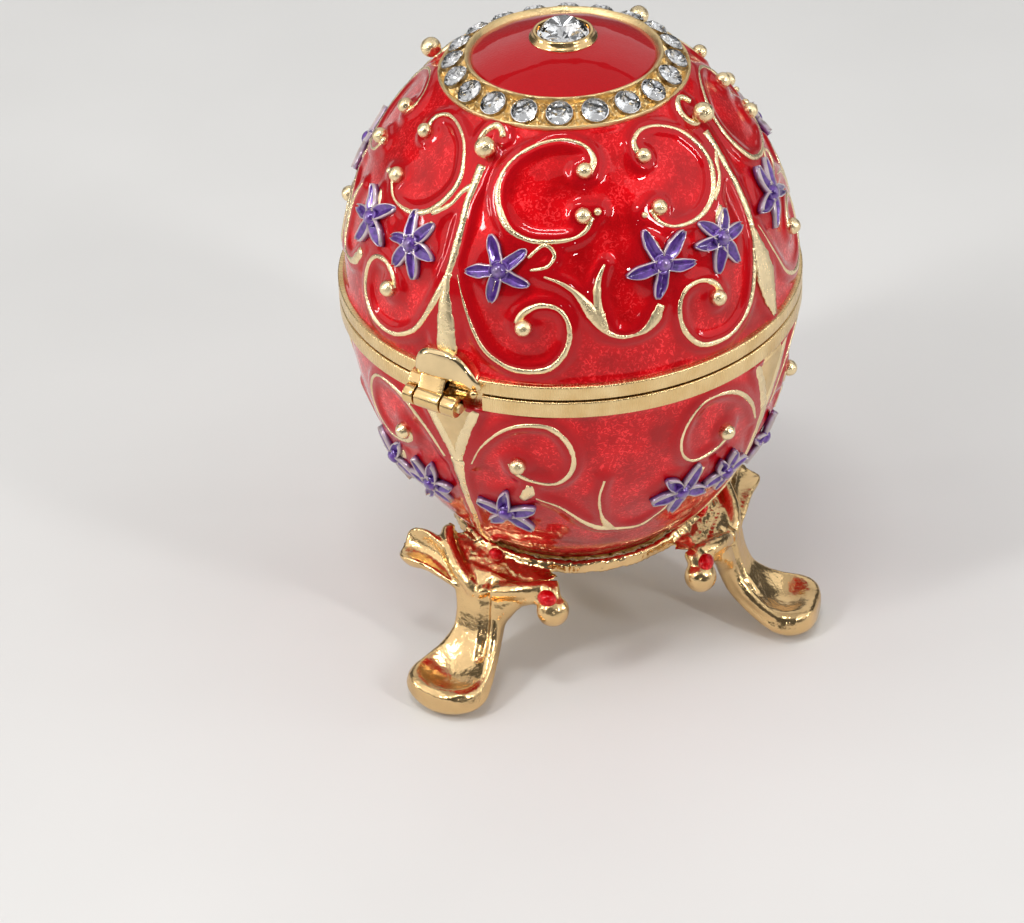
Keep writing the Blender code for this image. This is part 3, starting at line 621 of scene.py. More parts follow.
def make_ring_setting(material):
    """The channel of the ring: two rims, a floor with a seat for each stone, prongs between."""
    centre, tangent, normal = ring_seat()
    across = np.linspace(-RING_HALF, RING_HALF, RING_ACROSS)
    angles = np.arange(RING_COLUMNS) * 360.0 / RING_COLUMNS
    pitch = 360.0 / RING_STONES
    rings = []
    for v in across:
        edge = (RING_HALF - abs(v)) / MM
        ring = []
        for angle in angles:
            wave = noise.noise(Vector((math.radians(angle) * 9.0, v / MM, 0.5)))
            rim_width = RING_RIM + 0.12 * wave
            rim = RING_PROUD * min(1.0, math.sqrt(max(0.0, 1 - (1 - edge / 0.3) ** 2))
                                   if edge < 0.3 else 1.0)
            turn = (angle - RING_TURN + pitch / 2) % pitch - pitch / 2
            along = math.radians(turn) * RING_RADIUS
            from_stone = math.hypot(along, v) / MM
            seat = RING_FLOOR + SEAT_RISE * math.exp(-((from_stone - SEAT_RADIUS) / 0.16) ** 2)
            between = (pitch / 2 - abs(turn)) / 180 * math.pi * RING_RADIUS / MM
            prong = math.exp(-(between / 0.30) ** 2 - ((abs(v) / MM - PRONG_PLACE) / 0.38) ** 2)
            grain = 0.10 * noise.noise(Vector((angle * 2.2, v / MM * 5.0, 3.0))) * MM
            floor = seat + PRONG_RISE * prong + grain
            share = 1.0 / (1.0 + math.exp((edge - rim_width) / 0.05))
            level = rim * share + floor * (1 - share) + 0.06 * wave * MM * share
            radius, height = centre + tangent * v + normal * level
            turned_by = math.radians(angle)
            ring.append((radius * math.cos(turned_by), radius * math.sin(turned_by), height))
        rings.append(ring)
    for v, level in ((RING_HALF, -1.0), (0.0, -1.4), (-RING_HALF, -1.0)):
        radius, height = centre + tangent * v + normal * level * MM
        rings.append([(radius * math.cos(math.radians(a)), radius * math.sin(math.radians(a)),
                       height) for a in angles])
    piece = Piece()
    piece.add_rings(rings, torus=True)
    obj = piece.build("ring_setting", material, "lid", "polished_gold")
    sharpen(obj, 50)


# Cut stones

def brilliant(diameter, crown, depth):
    """A round brilliant about its girdle: table, crown and pavilion as a convex hull."""
    radius = diameter / 2
    rows = ((radius * TABLE, crown, 8, 0.5), (radius * 0.80, crown * 0.58, 8, 0.0),
            (radius, GIRDLE, 16, 0.25), (radius, -GIRDLE, 16, 0.25),
            (radius * 0.22, -depth * 0.80, 8, 0.5))
    points = [(r * math.cos(2 * math.pi * (i + shift) / count),
               r * math.sin(2 * math.pi * (i + shift) / count), z)
              for r, z, count, shift in rows for i in range(count)]
    shape = bmesh.new()
    for point in [*points, (0.0, 0.0, -depth)]:
        shape.verts.new(point)
    hull = bmesh.ops.convex_hull(shape, input=shape.verts)
    loose = [item for item in hull["geom_interior"] if isinstance(item, bmesh.types.BMVert)]
    bmesh.ops.delete(shape, geom=loose, context="VERTS")
    bmesh.ops.recalc_face_normals(shape, faces=shape.faces)
    return shape


def place_stone(name, shape, matrix, material, node=None):
    """Puts a stone or a foil in its place on the lid, for the frame's node where one is given."""
    mesh = bpy.data.meshes.new(name)
    shape.transform(matrix)
    shape.to_mesh(mesh)
    shape.free()
    obj = show(name, mesh, material, "lid")
    if node:
        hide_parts(node)


def foil(diameter, depth, height):
    """Mirror cup that closely backs a stone's pavilion."""
    radius = diameter / 2
    shape = bmesh.new()
    outline = ((radius * 1.0, height), (radius * 0.24, -depth * 0.80 - 0.02 * MM),
               (0.02 * MM, -depth - 0.06 * MM))
    outside = ((0.02 * MM, -depth - 0.14 * MM), (radius * 1.06, height - 0.02 * MM))
    rings = []
    for r, z in outline + outside:
        rings.append([shape.verts.new((r * math.cos(2 * math.pi * i / FOIL_SIDES),
                                       r * math.sin(2 * math.pi * i / FOIL_SIDES), z))
                      for i in range(FOIL_SIDES)])
    for ring, following in zip(rings, rings[1:] + rings[:1]):
        for i in range(FOIL_SIDES):
            k = (i + 1) % FOIL_SIDES
            shape.faces.new((ring[i], ring[k], following[k], following[i]))
    return shape


def make_stones(crystal, mirror):
    centre, _, normal = ring_seat()
    lean = math.atan2(normal[0], normal[1])
    foils = bmesh.new()
    for i in range(RING_STONES):
        angle = math.radians(RING_TURN + 360.0 / RING_STONES * i)
        girdle = centre + normal * RING_GIRDLE
        place = Matrix.Rotation(angle, 4, "Z") @ Matrix.Translation((girdle[0], 0.0, girdle[1]))
        turn = Matrix.Rotation(rng.uniform(0.0, math.pi / 4), 4, "Z")
        place = place @ Matrix.Rotation(lean, 4, "Y") @ turn
        name = f"cut_stone_{i + 1:02d}"
        place_stone(name, brilliant(RING_STONE, RING_STONE_CROWN, RING_STONE_DEPTH), place,
                    crystal, f"ring_crystal_{i + 1:02d}")
        cup = foil(RING_STONE, RING_STONE_DEPTH, FOIL_EDGE)
        cup.transform(place)
        spare = bpy.data.meshes.new("spare")
        cup.to_mesh(spare)
        cup.free()
        foils.from_mesh(spare)
        bpy.data.meshes.remove(spare)
    bmesh.ops.recalc_face_normals(foils, faces=foils.faces)
    place_stone("ring_foils", foils, Matrix.Identity(4), mirror)
    place = Matrix.Translation((0.0, 0.0, LID_HEIGHT + CROWN_GIRDLE))
    place_stone("crown_stone", brilliant(CROWN_STONE, CROWN_STONE_CROWN, CROWN_STONE_DEPTH), place,
                crystal, "crown_crystal")
    cup = foil(CROWN_STONE, CROWN_STONE_DEPTH, FOIL_EDGE)
    bmesh.ops.recalc_face_normals(cup, faces=cup.faces)
    place_stone("crown_foil", cup, place, mirror)


# Hinge

AXIS_Y = RADIUS + KNUCKLE_STANDOFF
AXIS_Z = -HINGE_DROP
KNUCKLE_RADIUS = 1.3 * MM
SHORT_SPAN = (2.3 * MM, 3.7 * MM)
MIDDLE_SPAN = (-1.5 * MM, 2.05 * MM)
LONG_SPAN = (-3.7 * MM, -1.75 * MM)
LEDGE_SPAN = (-1.5 * MM, 3.65 * MM)
PIN_ENDS = (-4.15 * MM, 4.10 * MM)
NOTCH = (97.3, 101.0)
NOTCH_DEPTH = 1.3 * MM
KNUCKLE_ROUNDING = 0.15 * MM
BLOCK_ROUNDING = 0.12 * MM
HEAD_RADIUS = 0.62 * MM
PIN_RADIUS = 0.44 * MM
DROPLET = (-5.3 * MM, RADIUS + 0.75 * MM, 0.75 * MM)
DROPLET_RADIUS = 0.55 * MM


def rod_rings(start, finish, radius, rounding, sides=28):
    """A rod about the hinge's axis, between two places along X."""
    rings = []
    outline = rounded([(0.05 * radius, start), (radius, start), (radius, finish),
                       (0.05 * radius, finish)], rounding, 5)
    for r, x in outline:
        rings.append([(x, AXIS_Y + r * math.cos(a), AXIS_Z + r * math.sin(a))
                      for a in np.linspace(0, 2 * math.pi, sides, endpoint=False)])
    return rings


def add_block(piece, span, outline):
    """A block along X with a closed outline of (y, z) points and slightly eased ends."""
    outline = np.array(outline)
    middle = outline.mean(0)
    rings = []
    for x, share in ((span[0], 0.94), (span[0] + BLOCK_ROUNDING, 1.0),
                     (span[1] - BLOCK_ROUNDING, 1.0), (span[1], 0.94)):
        rings.append([(x, *(middle + (point - middle) * share)) for point in outline])
    piece.add_rings(rings)


def make_hinge(gold, grainy):
    """Two knuckles on the bowl, one with its ledge on the lid, and the riveted pin."""
    bowl_side = Piece()
    for span in (SHORT_SPAN, LONG_SPAN):
        bowl_side.add_rings(rod_rings(*span, KNUCKLE_RADIUS, KNUCKLE_ROUNDING))
        add_block(bowl_side, span, [(SHELL - 0.6 * MM, -2.2 * MM), (AXIS_Y, -2.45 * MM),
                                    (AXIS_Y, -0.4 * MM), (RADIUS - 0.1 * MM, -0.5 * MM),
                                    (SHELL - 0.6 * MM, -0.5 * MM)])
    obj = bowl_side.build("bowl_knuckles", gold, "base", "polished_gold")
    sharpen(obj, 35)
    lid_side = Piece()
    lid_side.add_rings(rod_rings(*MIDDLE_SPAN, KNUCKLE_RADIUS, KNUCKLE_ROUNDING))
    add_block(lid_side, MIDDLE_SPAN, [(RADIUS + 0.45 * MM, -0.9 * MM), (AXIS_Y, -0.6 * MM),
                                      (AXIS_Y + 0.1 * MM, 0.05 * MM),
                                      (RADIUS + 1.0 * MM, 1.6 * MM), (RADIUS - 0.2 * MM, 1.6 * MM),
                                      (RADIUS + 0.45 * MM, 0.3 * MM)])
    add_block(lid_side, LEDGE_SPAN, [(RADIUS - 0.2 * MM, 0.35 * MM), (RADIUS + 0.5 * MM, 0.30 * MM),
                                     (AXIS_Y - 0.45 * MM, 0.24 * MM),
                                     (AXIS_Y - 0.15 * MM, 0.42 * MM),
                                     (RADIUS + 1.05 * MM, 1.3 * MM),
                                     (RADIUS - 0.2 * MM, 1.6 * MM)])
    add_ball(lid_side, DROPLET, DROPLET_RADIUS)
    obj = lid_side.build("lid_knuckle", gold, "lid", "polished_gold")
    sharpen(obj, 35)
    pin = Piece()
    for start, finish in ((PIN_ENDS[0], LONG_SPAN[0] + 0.1 * MM),
                          (SHORT_SPAN[1] - 0.1 * MM, PIN_ENDS[1])):
        pin.add_rings(rod_rings(start, finish, HEAD_RADIUS, 0.22 * MM, 20))
    pin.add_rings(rod_rings(PIN_ENDS[0] + 0.2 * MM, PIN_ENDS[1] - 0.2 * MM, PIN_RADIUS,
                            0.05 * MM))
    obj = pin.build("hinge_rivet", grainy, "base", "polished_gold")
    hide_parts("hinge_pin")


# Outline of the plate's face as (x, height over the parting) in mm
PLATE = ((3.4, 0.62), (3.5, 2.6), (3.0, 4.0), (1.8, 4.9), (-1.4, 5.2), (-3.1, 4.7),
         (-4.5, 3.3), (-5.4, 1.8), (-5.7, 0.9), (-5.5, 0.62))
PLATE_PROUD = 1.08
PLATE_ROUNDING = 0.9
PLATE_BACK = 1.2 * MM


def make_plate(material):
    """Polished plate over the lid's band, with a swollen face."""
    outline = np.array(rounded([*PLATE, PLATE[0]], PLATE_ROUNDING, 5)[:-1])
    middle = outline.mean(0)
    rings = []
    for share in np.sin(np.linspace(0.04, 1.0, 22) * math.pi / 2):
        ring = []
        for corner in outline:
            x, z = middle + (corner - middle) * share
            swell = 0.60 * (abs(x + 0.2) / 5.0) ** 2.2 + 0.75 * (max(0.0, z - 1.6) / 4.0) ** 2
            drop = 0.6 * (1 - math.sqrt(max(0.0, 1 - max(0.0, (share - 0.82) / 0.18) ** 2)))
            bend = (x * MM) ** 2 / (2 * RADIUS) * 0.6
            ring.append((x * MM, RADIUS + (PLATE_PROUD - swell - drop) * MM - bend, z * MM))
        rings.append(ring)
    rings.append([(x * MM, SHELL - PLATE_BACK, z * MM) for x, z in outline])
    piece = Piece()
    piece.add_rings(rings)
    obj = piece.build("hinge_plate", material, "lid", "polished_gold")
    sharpen(obj, 50)


# Stand: in each leg's own frame, in mm, x runs sideways, y outward and z up from the ground

GROUND = -CENTRE.z
LEG_ANGLES = (85.0, 198.0, 321.5)
LEG_SIDES = (1.0, -1.0, 1.0)
FOOT_VOXEL = 0.26 * MM
STATION_STEP = 0.4 * MM
# Section of the collar as (radius, height) in mm
COLLAR = ((12.6, 15.2), (12.6, 15.65), (14.4, 15.65), (15.9, 16.5), (16.45, 16.4), (16.5, 14.7),
          (12.6, 14.65), (12.6, 15.2))
COLLAR_ROUNDING = 0.25 * MM
COLLAR_SIDES = 96
ROUGH_REACH = 18.2 * MM


class Loft:
    """Lofted parts of the stand in one mesh, before they are fused; sizes here are in mm."""

    def __init__(self):
        self.piece = Piece()
        self.matrix = Matrix.Identity(3)
        self.mirror = 1.0

    def face(self, angle, mirror):
        """Turns what follows to a leg's angle, with y outward, x sideways and z up."""
        self.matrix = Matrix.Rotation(math.radians(angle - 90.0), 3, "Z")
        self.mirror = mirror

    def turn(self, point):
        x, y, z = point
        point = self.matrix @ Vector((x * self.mirror, y, z))
        return (point.x, point.y, max(point.z, 0.0) + GROUND)

    def sweep(self, route, level, section):
        """Sweeps a section along (x, y, z, width, depth, dish) stations; level is the way across."""
        stations = smooth_path(np.array(route, float) * MM, STATION_STEP)
        points = stations[:, :3]
        along = np.gradient(points, axis=0)
        along /= np.linalg.norm(along, axis=1, keepdims=True)
        rings = []
        for point, ahead, (width, depth, dish) in zip(points, along, stations[:, 3:]):
            side = np.array(level) - ahead * float(np.dot(level, ahead))
            side /= np.linalg.norm(side)
            up = np.cross(side, ahead)
            rings.append([self.turn(point + side * x * width / 2 + up * z * depth / 2)
                          for x, z in section(dish / MM)])
        self.piece.add_rings(rings)

    def ball(self, centre, radius, stretch=(1.0, 1.0, 1.0)):
        rings = []
        for i in range(14):
            tilt = math.pi * (i + 0.3) / 13.6
            rings.append([self.turn((np.array(centre) + radius * np.array(stretch) * np.array(
                (math.sin(tilt) * math.cos(a), math.sin(tilt) * math.sin(a),
                 math.cos(tilt)))) * MM)
                for a in np.linspace(0, 2 * math.pi, 24, endpoint=False)])
        self.piece.add_rings(rings)


def oval(_):
    return [(math.cos(a), math.sin(a)) for a in np.linspace(0, 2 * math.pi, 20, endpoint=False)]


def scooped(dish):
    """A section with raised rims and a dished middle above a rounded underside."""
    top = []
    for x in np.linspace(-1.0, 1.0, 25):
        hollow = dish * max(0.0, 1.0 - (abs(x) / 0.80) ** 2) ** 1.3
        edge = math.sqrt(max(0.0, 1.0 - (max(0.0, abs(x) - 0.70) / 0.30) ** 2))
        top.append((x, edge - hollow))
    return top + [(math.cos(a), -math.sin(a)) for a in np.linspace(0.12, math.pi - 0.12, 11)]


# Stations of the sweeps: x, y, z, width, depth and dish
SHAFT = [(-0.6, 18.6, 14.3, 15.0, 1.8, 0.0), (-0.6, 19.8, 13.0, 12.6, 2.4, 0.0),
         (-0.5, 20.5, 11.2, 9.6, 3.0, 0.0), (-0.3, 21.0, 8.8, 7.5, 3.4, 0.0),
         (-0.4, 22.2, 6.2, 7.4, 3.5, 0.0), (-0.5, 24.2, 4.4, 8.8, 3.4, 0.0),
         (-0.6, 26.4, 3.2, 10.4, 3.8, 0.0), (-0.7, 28.4, 2.5, 11.6, 4.2, 0.0),
         (-0.7, 29.9, 2.3, 11.6, 4.3, 0.0), (-0.7, 31.1, 2.3, 10.7, 4.2, 0.0),
         (-0.7, 31.9, 2.3, 9.3, 3.9, 0.0), (-0.7, 32.5, 2.3, 7.5, 3.5, 0.0),
         (-0.7, 32.9, 2.3, 5.4, 2.8, 0.0), (-0.7, 33.1, 2.3, 3.0, 1.8, 0.0)]
PAD = (-0.6, 28.3)
PAD_HOLLOW = (4.6, 4.0)
PAD_DEPTH = 1.25 * MM
FLUTE_START = (-1.6, 21.6)
FLUTE_END = (-3.0, 25.0)
FLUTE_HALF = 0.55
FLUTE_DEPTH = 0.8 * MM
BACK_RIDGE = [(-2.8, 20.6, 12.2, 1.4, 1.4, 0), (-3.2, 21.7, 9.4, 1.7, 1.9, 0),
              (-3.4, 22.7, 7.4, 1.8, 2.0, 0), (-4.2, 24.7, 5.6, 1.7, 1.8, 0),
              (-5.2, 27.2, 4.3, 1.4, 1.4, 0), (-5.7, 29.4, 3.6, 0.9, 0.9, 0)]
LOBE = [(0.0, 15.2, 15.2, 17.5, 1.0, 0), (0.0, 17.4, 14.9, 16.5, 1.0, 0),
        (0.0, 19.0, 13.9, 10.5, 1.1, 0), (0.0, 20.2, 12.6, 4.0, 1.4, 0)]
LEFT_BAR = [(0.4, 21.0, 11.2, 1.8, 1.4, 0), (1.2, 21.0, 12.8, 2.2, 2.2, 0),
            (4.0, 20.1, 14.1, 2.4, 2.5, 0), (6.8, 18.5, 15.4, 2.2, 2.2, 0),
            (8.6, 16.6, 15.9, 1.8, 1.8, 0), (9.0, 15.2, 15.9, 1.0, 1.0, 0)]
RIGHT_BAR = [(0.9, 20.9, 12.0, 1.8, 1.6, 0), (-2.2, 20.9, 13.3, 2.2, 2.4, 0),
             (-5.0, 20.3, 14.3, 2.4, 2.7, 0), (-7.2, 19.4, 14.9, 2.4, 2.6, 0),
             (-8.6, 18.4, 15.2, 2.2, 2.2, 0), (-9.2, 17.4, 15.2, 1.5, 1.5, 0)]
SCOOP = [(2.2, 20.8, 12.2, 2.4, 1.4, 0.3), (4.2, 20.6, 13.2, 3.4, 1.6, 0.9),
         (6.4, 20.4, 13.9, 4.0, 1.9, 1.1), (8.6, 20.2, 14.4, 4.8, 2.4, 1.2),
         (10.4, 20.1, 14.4, 5.4, 3.2, 1.1), (11.8, 20.0, 14.0, 5.0, 3.4, 0.7),
         (12.7, 19.9, 13.6, 3.4, 2.4, 0.1)]
WEB = [(-3.4, 20.0, 12.2, 3.0, 1.8, 0), (-5.6, 20.0, 13.2, 2.4, 2.0, 0),
       (-7.6, 19.5, 14.0, 2.2, 2.0, 0), (-9.2, 19.0, 14.3, 2.0, 1.8, 0)]
NECK = [(-8.8, 17.8, 15.4, 3.0, 2.4, 0), (-9.6, 18.5, 14.9, 3.0, 2.6, 0),
        (-10.2, 19.1, 13.8, 2.8, 2.6, 0)]
DROP = (-10.6, 19.2, 12.9)
DROP_RADIUS = 2.15
RED_DOTS = (((0.3, 17.0, 15.9), 1.05), ((-10.2, 19.8, 15.0), 1.35))
DROP_SQUASH = (1.0, 0.8, 0.8)
# Ways across that the sections of the sweeps lie along
SIDEWAYS = (1.0, 0.0, 0.0)
UPWARD = (0.0, -0.5, 0.8)
INWARD = (0.0, -0.8, 0.6)
UPRIGHT = (0.0, 0.0, 1.0)


def make_leg(loft, angle, mirror):
    """One foot: a scoop on one arm of its yoke, a ball on the other, a shaft and a dished pad."""
    loft.face(angle, mirror)
    loft.sweep(SHAFT, SIDEWAYS, scooped)
    loft.sweep(BACK_RIDGE, SIDEWAYS, oval)
    loft.sweep(LOBE, SIDEWAYS, oval)
    loft.sweep(LEFT_BAR, UPWARD, oval)
    loft.sweep(RIGHT_BAR, UPWARD, oval)
    loft.sweep(SCOOP, INWARD, scooped)
    loft.sweep(WEB, UPRIGHT, oval)
    loft.sweep(NECK, SIDEWAYS, oval)
    loft.ball(DROP, DROP_RADIUS)


def hollow_pads(places, normals):
    """Presses the smooth dish of each pad, and the flute of its shaft, into the stand's top."""
    for angle, mirror in zip(LEG_ANGLES, LEG_SIDES):
        turn = math.radians(90.0 - angle)
        x = (places[:, 0] * math.cos(turn) - places[:, 1] * math.sin(turn)) * mirror / MM
        y = (places[:, 0] * math.sin(turn) + places[:, 1] * math.cos(turn)) / MM
        upper = np.clip(normals[:, 2] * 2.0, 0.0, 1.0)
        reach = ((x - PAD[0]) / PAD_HOLLOW[0]) ** 2 + ((y - PAD[1]) / PAD_HOLLOW[1]) ** 2
        places[:, 2] -= PAD_DEPTH * np.clip(1.0 - reach, 0.0, 1.0) ** 1.5 * upper
        share = np.clip((y - FLUTE_START[1]) / (FLUTE_END[1] - FLUTE_START[1]), 0.0, 1.0)
        middle = FLUTE_START[0] + (FLUTE_END[0] - FLUTE_START[0]) * share
        near = np.clip((y - FLUTE_START[1] + 2.0) / 1.5, 0.0, 1.0)
        far = np.clip(FLUTE_END[1] + 1.0 - y, 0.0, 1.0)
        facing = normals @ outward(angle) > 0
        groove = np.exp(-((x - middle) / FLUTE_HALF) ** 2) * near * far * facing
        places -= normals * (groove * FLUTE_DEPTH)[:, None]


def outward(angle):
    """The way out and up that a leg at this angle faces."""
    return np.array((math.cos(math.radians(angle)), math.sin(math.radians(angle)), 0.6))


def roughen(obj):
    """The pads' dishes, the cast surface's slow waves, and the rough edge of the collar."""
    mesh = obj.data
    count = len(mesh.vertices)
    places = np.empty(count * 3, np.float32)
    normals = np.empty(count * 3, np.float32)
    mesh.vertices.foreach_get("co", places)
    mesh.vertex_normals.foreach_get("vector", normals)
    places = places.reshape(-1, 3)
    normals = normals.reshape(-1, 3)
    hollow_pads(places, normals)
    waves = np.empty(count)
    for i, (x, y, z) in enumerate(places.tolist()):
        spot = Vector((x, y, z))
        collar = max(0.0, 1.0 - max(0.0, math.hypot(x, y) - ROUGH_REACH) / MM)
        waves[i] = (noise.noise(spot * 380.0) * 0.06 + noise.noise(spot * 900.0) * 0.16 * collar
                    + noise.noise(spot * 2300.0) * (0.03 + 0.12 * collar))
    places += normals * (waves * MM)[:, None]
    mesh.vertices.foreach_set("co", places.ravel())
    mesh.update()


def make_dots(enamel):
    """Drops of enamel on the collar and above each ball."""
    loft = Loft()
    for angle, mirror in zip(LEG_ANGLES, LEG_SIDES):
        loft.face(angle, mirror)
        for centre, radius in RED_DOTS:
            loft.ball(centre, radius, DROP_SQUASH)
    loft.piece.build("stand_enamel_dots", enamel, "base", "red_enamel")


def make_stand(gold, enamel):
    """Three feet and the collar, fused and softened into one casting."""
    loft = Loft()
    for angle, mirror in zip(LEG_ANGLES, LEG_SIDES):
        make_leg(loft, angle, mirror)
    collar = rounded([(r * MM, z * MM) for r, z in COLLAR], COLLAR_ROUNDING)[:-1]
    loft.piece.add_rings(turned([(r, z + GROUND) for r, z in collar], COLLAR_SIDES), torus=True)
    stand = loft.piece.build("stand_casting", gold, "base", "polished_gold")
    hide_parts("stand")
    remesh = stand.modifiers.new("fuse", "REMESH")
    remesh.mode = "VOXEL"
    remesh.voxel_size = FOOT_VOXEL
    soften = stand.modifiers.new("soften", "SMOOTH")
    soften.factor = 0.5
    soften.iterations = 6
    apply_modifiers(stand)
    roughen(stand)
    make_dots(enamel)


def apply_modifiers(obj):
    bpy.context.view_layer.update()
    evaluated = obj.evaluated_get(bpy.context.evaluated_depsgraph_get())
    mesh = bpy.data.meshes.new_from_object(evaluated)
    obj.modifiers.clear()
    obj.data = mesh
    mesh.polygons.foreach_set("use_smooth", [True] * len(mesh.polygons))


# Materials

def new_material(name, colour, roughness, metallic=0.0, coat=0.0, coat_roughness=0.05):
    material = bpy.data.materials.new(name)
    material.use_nodes = True
    shader = material.node_tree.nodes["Principled BSDF"]
    shader.inputs["Base Color"].default_value = (*colour, 1.0)
    shader.inputs["Roughness"].default_value = roughness
    shader.inputs["Metallic"].default_value = metallic
    shader.inputs["Coat Weight"].default_value = coat
    shader.inputs["Coat Roughness"].default_value = coat_roughness
    return material


class Nodes:
    """Short ways to add and join the nodes of a material."""

    def __init__(self, material):
        self.tree = material.node_tree
        self.shader = self.tree.nodes["Principled BSDF"]
        self.place = self.tree.nodes.new("ShaderNodeTexCoord").outputs["Object"]

    def add(self, kind, **settings):
        node = self.tree.nodes.new(kind)
        for name, value in settings.items():
            setattr(node, name, value)
        return node

    def join(self, source, target):
        self.tree.links.new(source, target)

    def noise(self, scale, detail=2.0):
        node = self.add("ShaderNodeTexNoise")
        node.inputs["Scale"].default_value = scale
        node.inputs["Detail"].default_value = detail
        self.join(self.place, node.inputs["Vector"])
        return node.outputs["Fac"]

    def ramp(self, source, stops):
        node = self.add("ShaderNodeValToRGB")
        ramp = node.color_ramp
        while len(ramp.elements) < len(stops):
            ramp.elements.new(0.5)
        for element, (position, colour) in zip(ramp.elements, stops):
            element.position = position
            element.color = (*colour, 1.0)
        self.join(source, node.inputs["Fac"])
        return node.outputs["Color"]

    def span(self, source, low, high, to_low=0.0, to_high=1.0):
        node = self.add("ShaderNodeMapRange")
        for name, value in (("From Min", low), ("From Max", high), ("To Min", to_low),
                            ("To Max", to_high)):
            node.inputs[name].default_value = value
        self.join(source, node.inputs["Value"])
        return node.outputs["Result"]

    def bump(self, height, distance, strength):
        node = self.add("ShaderNodeBump")
        node.inputs["Strength"].default_value = strength
        node.inputs["Distance"].default_value = distance
        self.join(height, node.inputs["Height"])
        return node.outputs["Normal"]

    def value(self, name):
        node = self.add("ShaderNodeAttribute", attribute_name=name)
        return node.outputs["Fac"]

    def multiply(self, first, second):
        node = self.add("ShaderNodeMath", operation="MULTIPLY")
        self.join(first, node.inputs[0])
        self.join(second, node.inputs[1])
        return node.outputs["Value"]

    def mix(self, share, first, second):
        node = self.add("ShaderNodeMix", data_type="RGBA")
        for source, target in ((share, "Factor"), (first, "A"), (second, "B")):
            socket = [s for s in node.inputs if s.name == target and s.enabled][0]
            if isinstance(source, tuple):
                socket.default_value = (*source, 1.0)
            else:
                self.join(source, socket)
        return [s for s in node.outputs if s.enabled][0]


def red_enamel():
    """Translucent red over a crumpled foil ground, smooth on top; the foil's glints are painted as
    bright red flecks in the open ground.
    """
    material = new_material("red_enamel", (0.62, 0.001, 0.008), 0.4, 0.30, 1.0, 0.02)
    nodes = Nodes(material)
    nodes.shader.inputs["Coat IOR"].default_value = 1.37
    nodes.shader.inputs["Specular IOR Level"].default_value = 0.15
    nodes.shader.inputs["Specular Tint"].default_value = (1.0, 0.15, 0.15, 1.0)
    crumple = nodes.noise(1750.0, 2.0)
    crumple.node.inputs["Distortion"].default_value = 1.6
    clouds = nodes.noise(230.0, 3.0)
    ground = nodes.ramp(clouds, ((0.34, (0.40, 0.000, 0.002)), (0.66, (0.70, 0.001, 0.005))))
    near_wire = nodes.span(nodes.value("edge"), 0.10, 0.80)
    base = nodes.mix(near_wire, ground, (0.46, 0.001, 0.005))
    # Painted glints: bright red flecks where the foil would catch the light, kept off the raised enamel
    # near the wires.
    painted_glint_fleck = nodes.span(crumple, 0.53, 0.62)
    patch = nodes.span(clouds, 0.36, 0.58)
    open_ground = nodes.span(nodes.value("edge"), 0.04, 0.35, 1.0, 0.0)
    painted_glint = nodes.multiply(nodes.multiply(painted_glint_fleck, patch), open_ground)
    colour = nodes.mix(painted_glint, base, (1.0, 0.032, 0.038))
    nodes.join(colour, nodes.shader.inputs["Base Color"])
    nodes.join(nodes.span(crumple, 0.35, 0.70, 0.50, 0.30), nodes.shader.inputs["Roughness"])
    nodes.join(nodes.bump(crumple, 0.00008, 0.5), nodes.shader.inputs["Normal"])
    nodes.join(nodes.bump(nodes.noise(700.0, 1.0), 0.00002, 0.3),
               nodes.shader.inputs["Coat Normal"])
    return material


def polished_gold(name, colour, roughness, grain=0.00002, scale=2600.0):
    """Plated gold with uneven wear and a fine grain of the given depth and scale."""
    material = new_material(name, colour, roughness, 1.0)
    nodes = Nodes(material)
    wear = nodes.noise(420.0, 4.0)
    nodes.join(nodes.span(wear, 0.3, 0.7, roughness * 0.75, roughness * 1.5),
               nodes.shader.inputs["Roughness"])
    darker = tuple(channel * 0.80 for channel in colour)
    nodes.join(nodes.ramp(nodes.noise(240.0, 3.0), ((0.3, darker), (0.65, colour))),
               nodes.shader.inputs["Base Color"])
    normal = nodes.bump(nodes.noise(scale, 3.0), grain, 0.8)
    nodes.join(normal, nodes.shader.inputs["Normal"])
    return material


def milled_gold():
    """Gold band with fine marks of the tool across it."""
    material = new_material("milled_gold", (0.93, 0.76, 0.50), 0.24, 1.0)
    nodes = Nodes(material)
    turn = nodes.add("ShaderNodeSeparateXYZ")
    nodes.join(nodes.place, turn.inputs["Vector"])
    angle = nodes.add("ShaderNodeMath", operation="ARCTAN2")
    nodes.join(turn.outputs["Y"], angle.inputs[0])
    nodes.join(turn.outputs["X"], angle.inputs[1])
    place = nodes.add("ShaderNodeCombineXYZ")
    nodes.join(angle.outputs["Value"], place.inputs["X"])
    nodes.join(turn.outputs["Z"], place.inputs["Y"])
    marks = nodes.add("ShaderNodeTexNoise")
    marks.inputs["Scale"].default_value = 260.0
    marks.inputs["Detail"].default_value = 3.0
    nodes.join(place.outputs["Vector"], marks.inputs["Vector"])
    nodes.join(nodes.span(marks.outputs["Fac"], 0.3, 0.7, 0.16, 0.38),
               nodes.shader.inputs["Roughness"])
    normal = nodes.bump(marks.outputs["Fac"], 0.00005, 0.7)
    nodes.join(normal, nodes.shader.inputs["Normal"])
    tone = nodes.ramp(nodes.noise(300.0, 3.0),
                      ((0.3, (0.74, 0.50, 0.22)), (0.7, (0.90, 0.68, 0.36))))
    nodes.join(tone, nodes.shader.inputs["Base Color"])
    return material


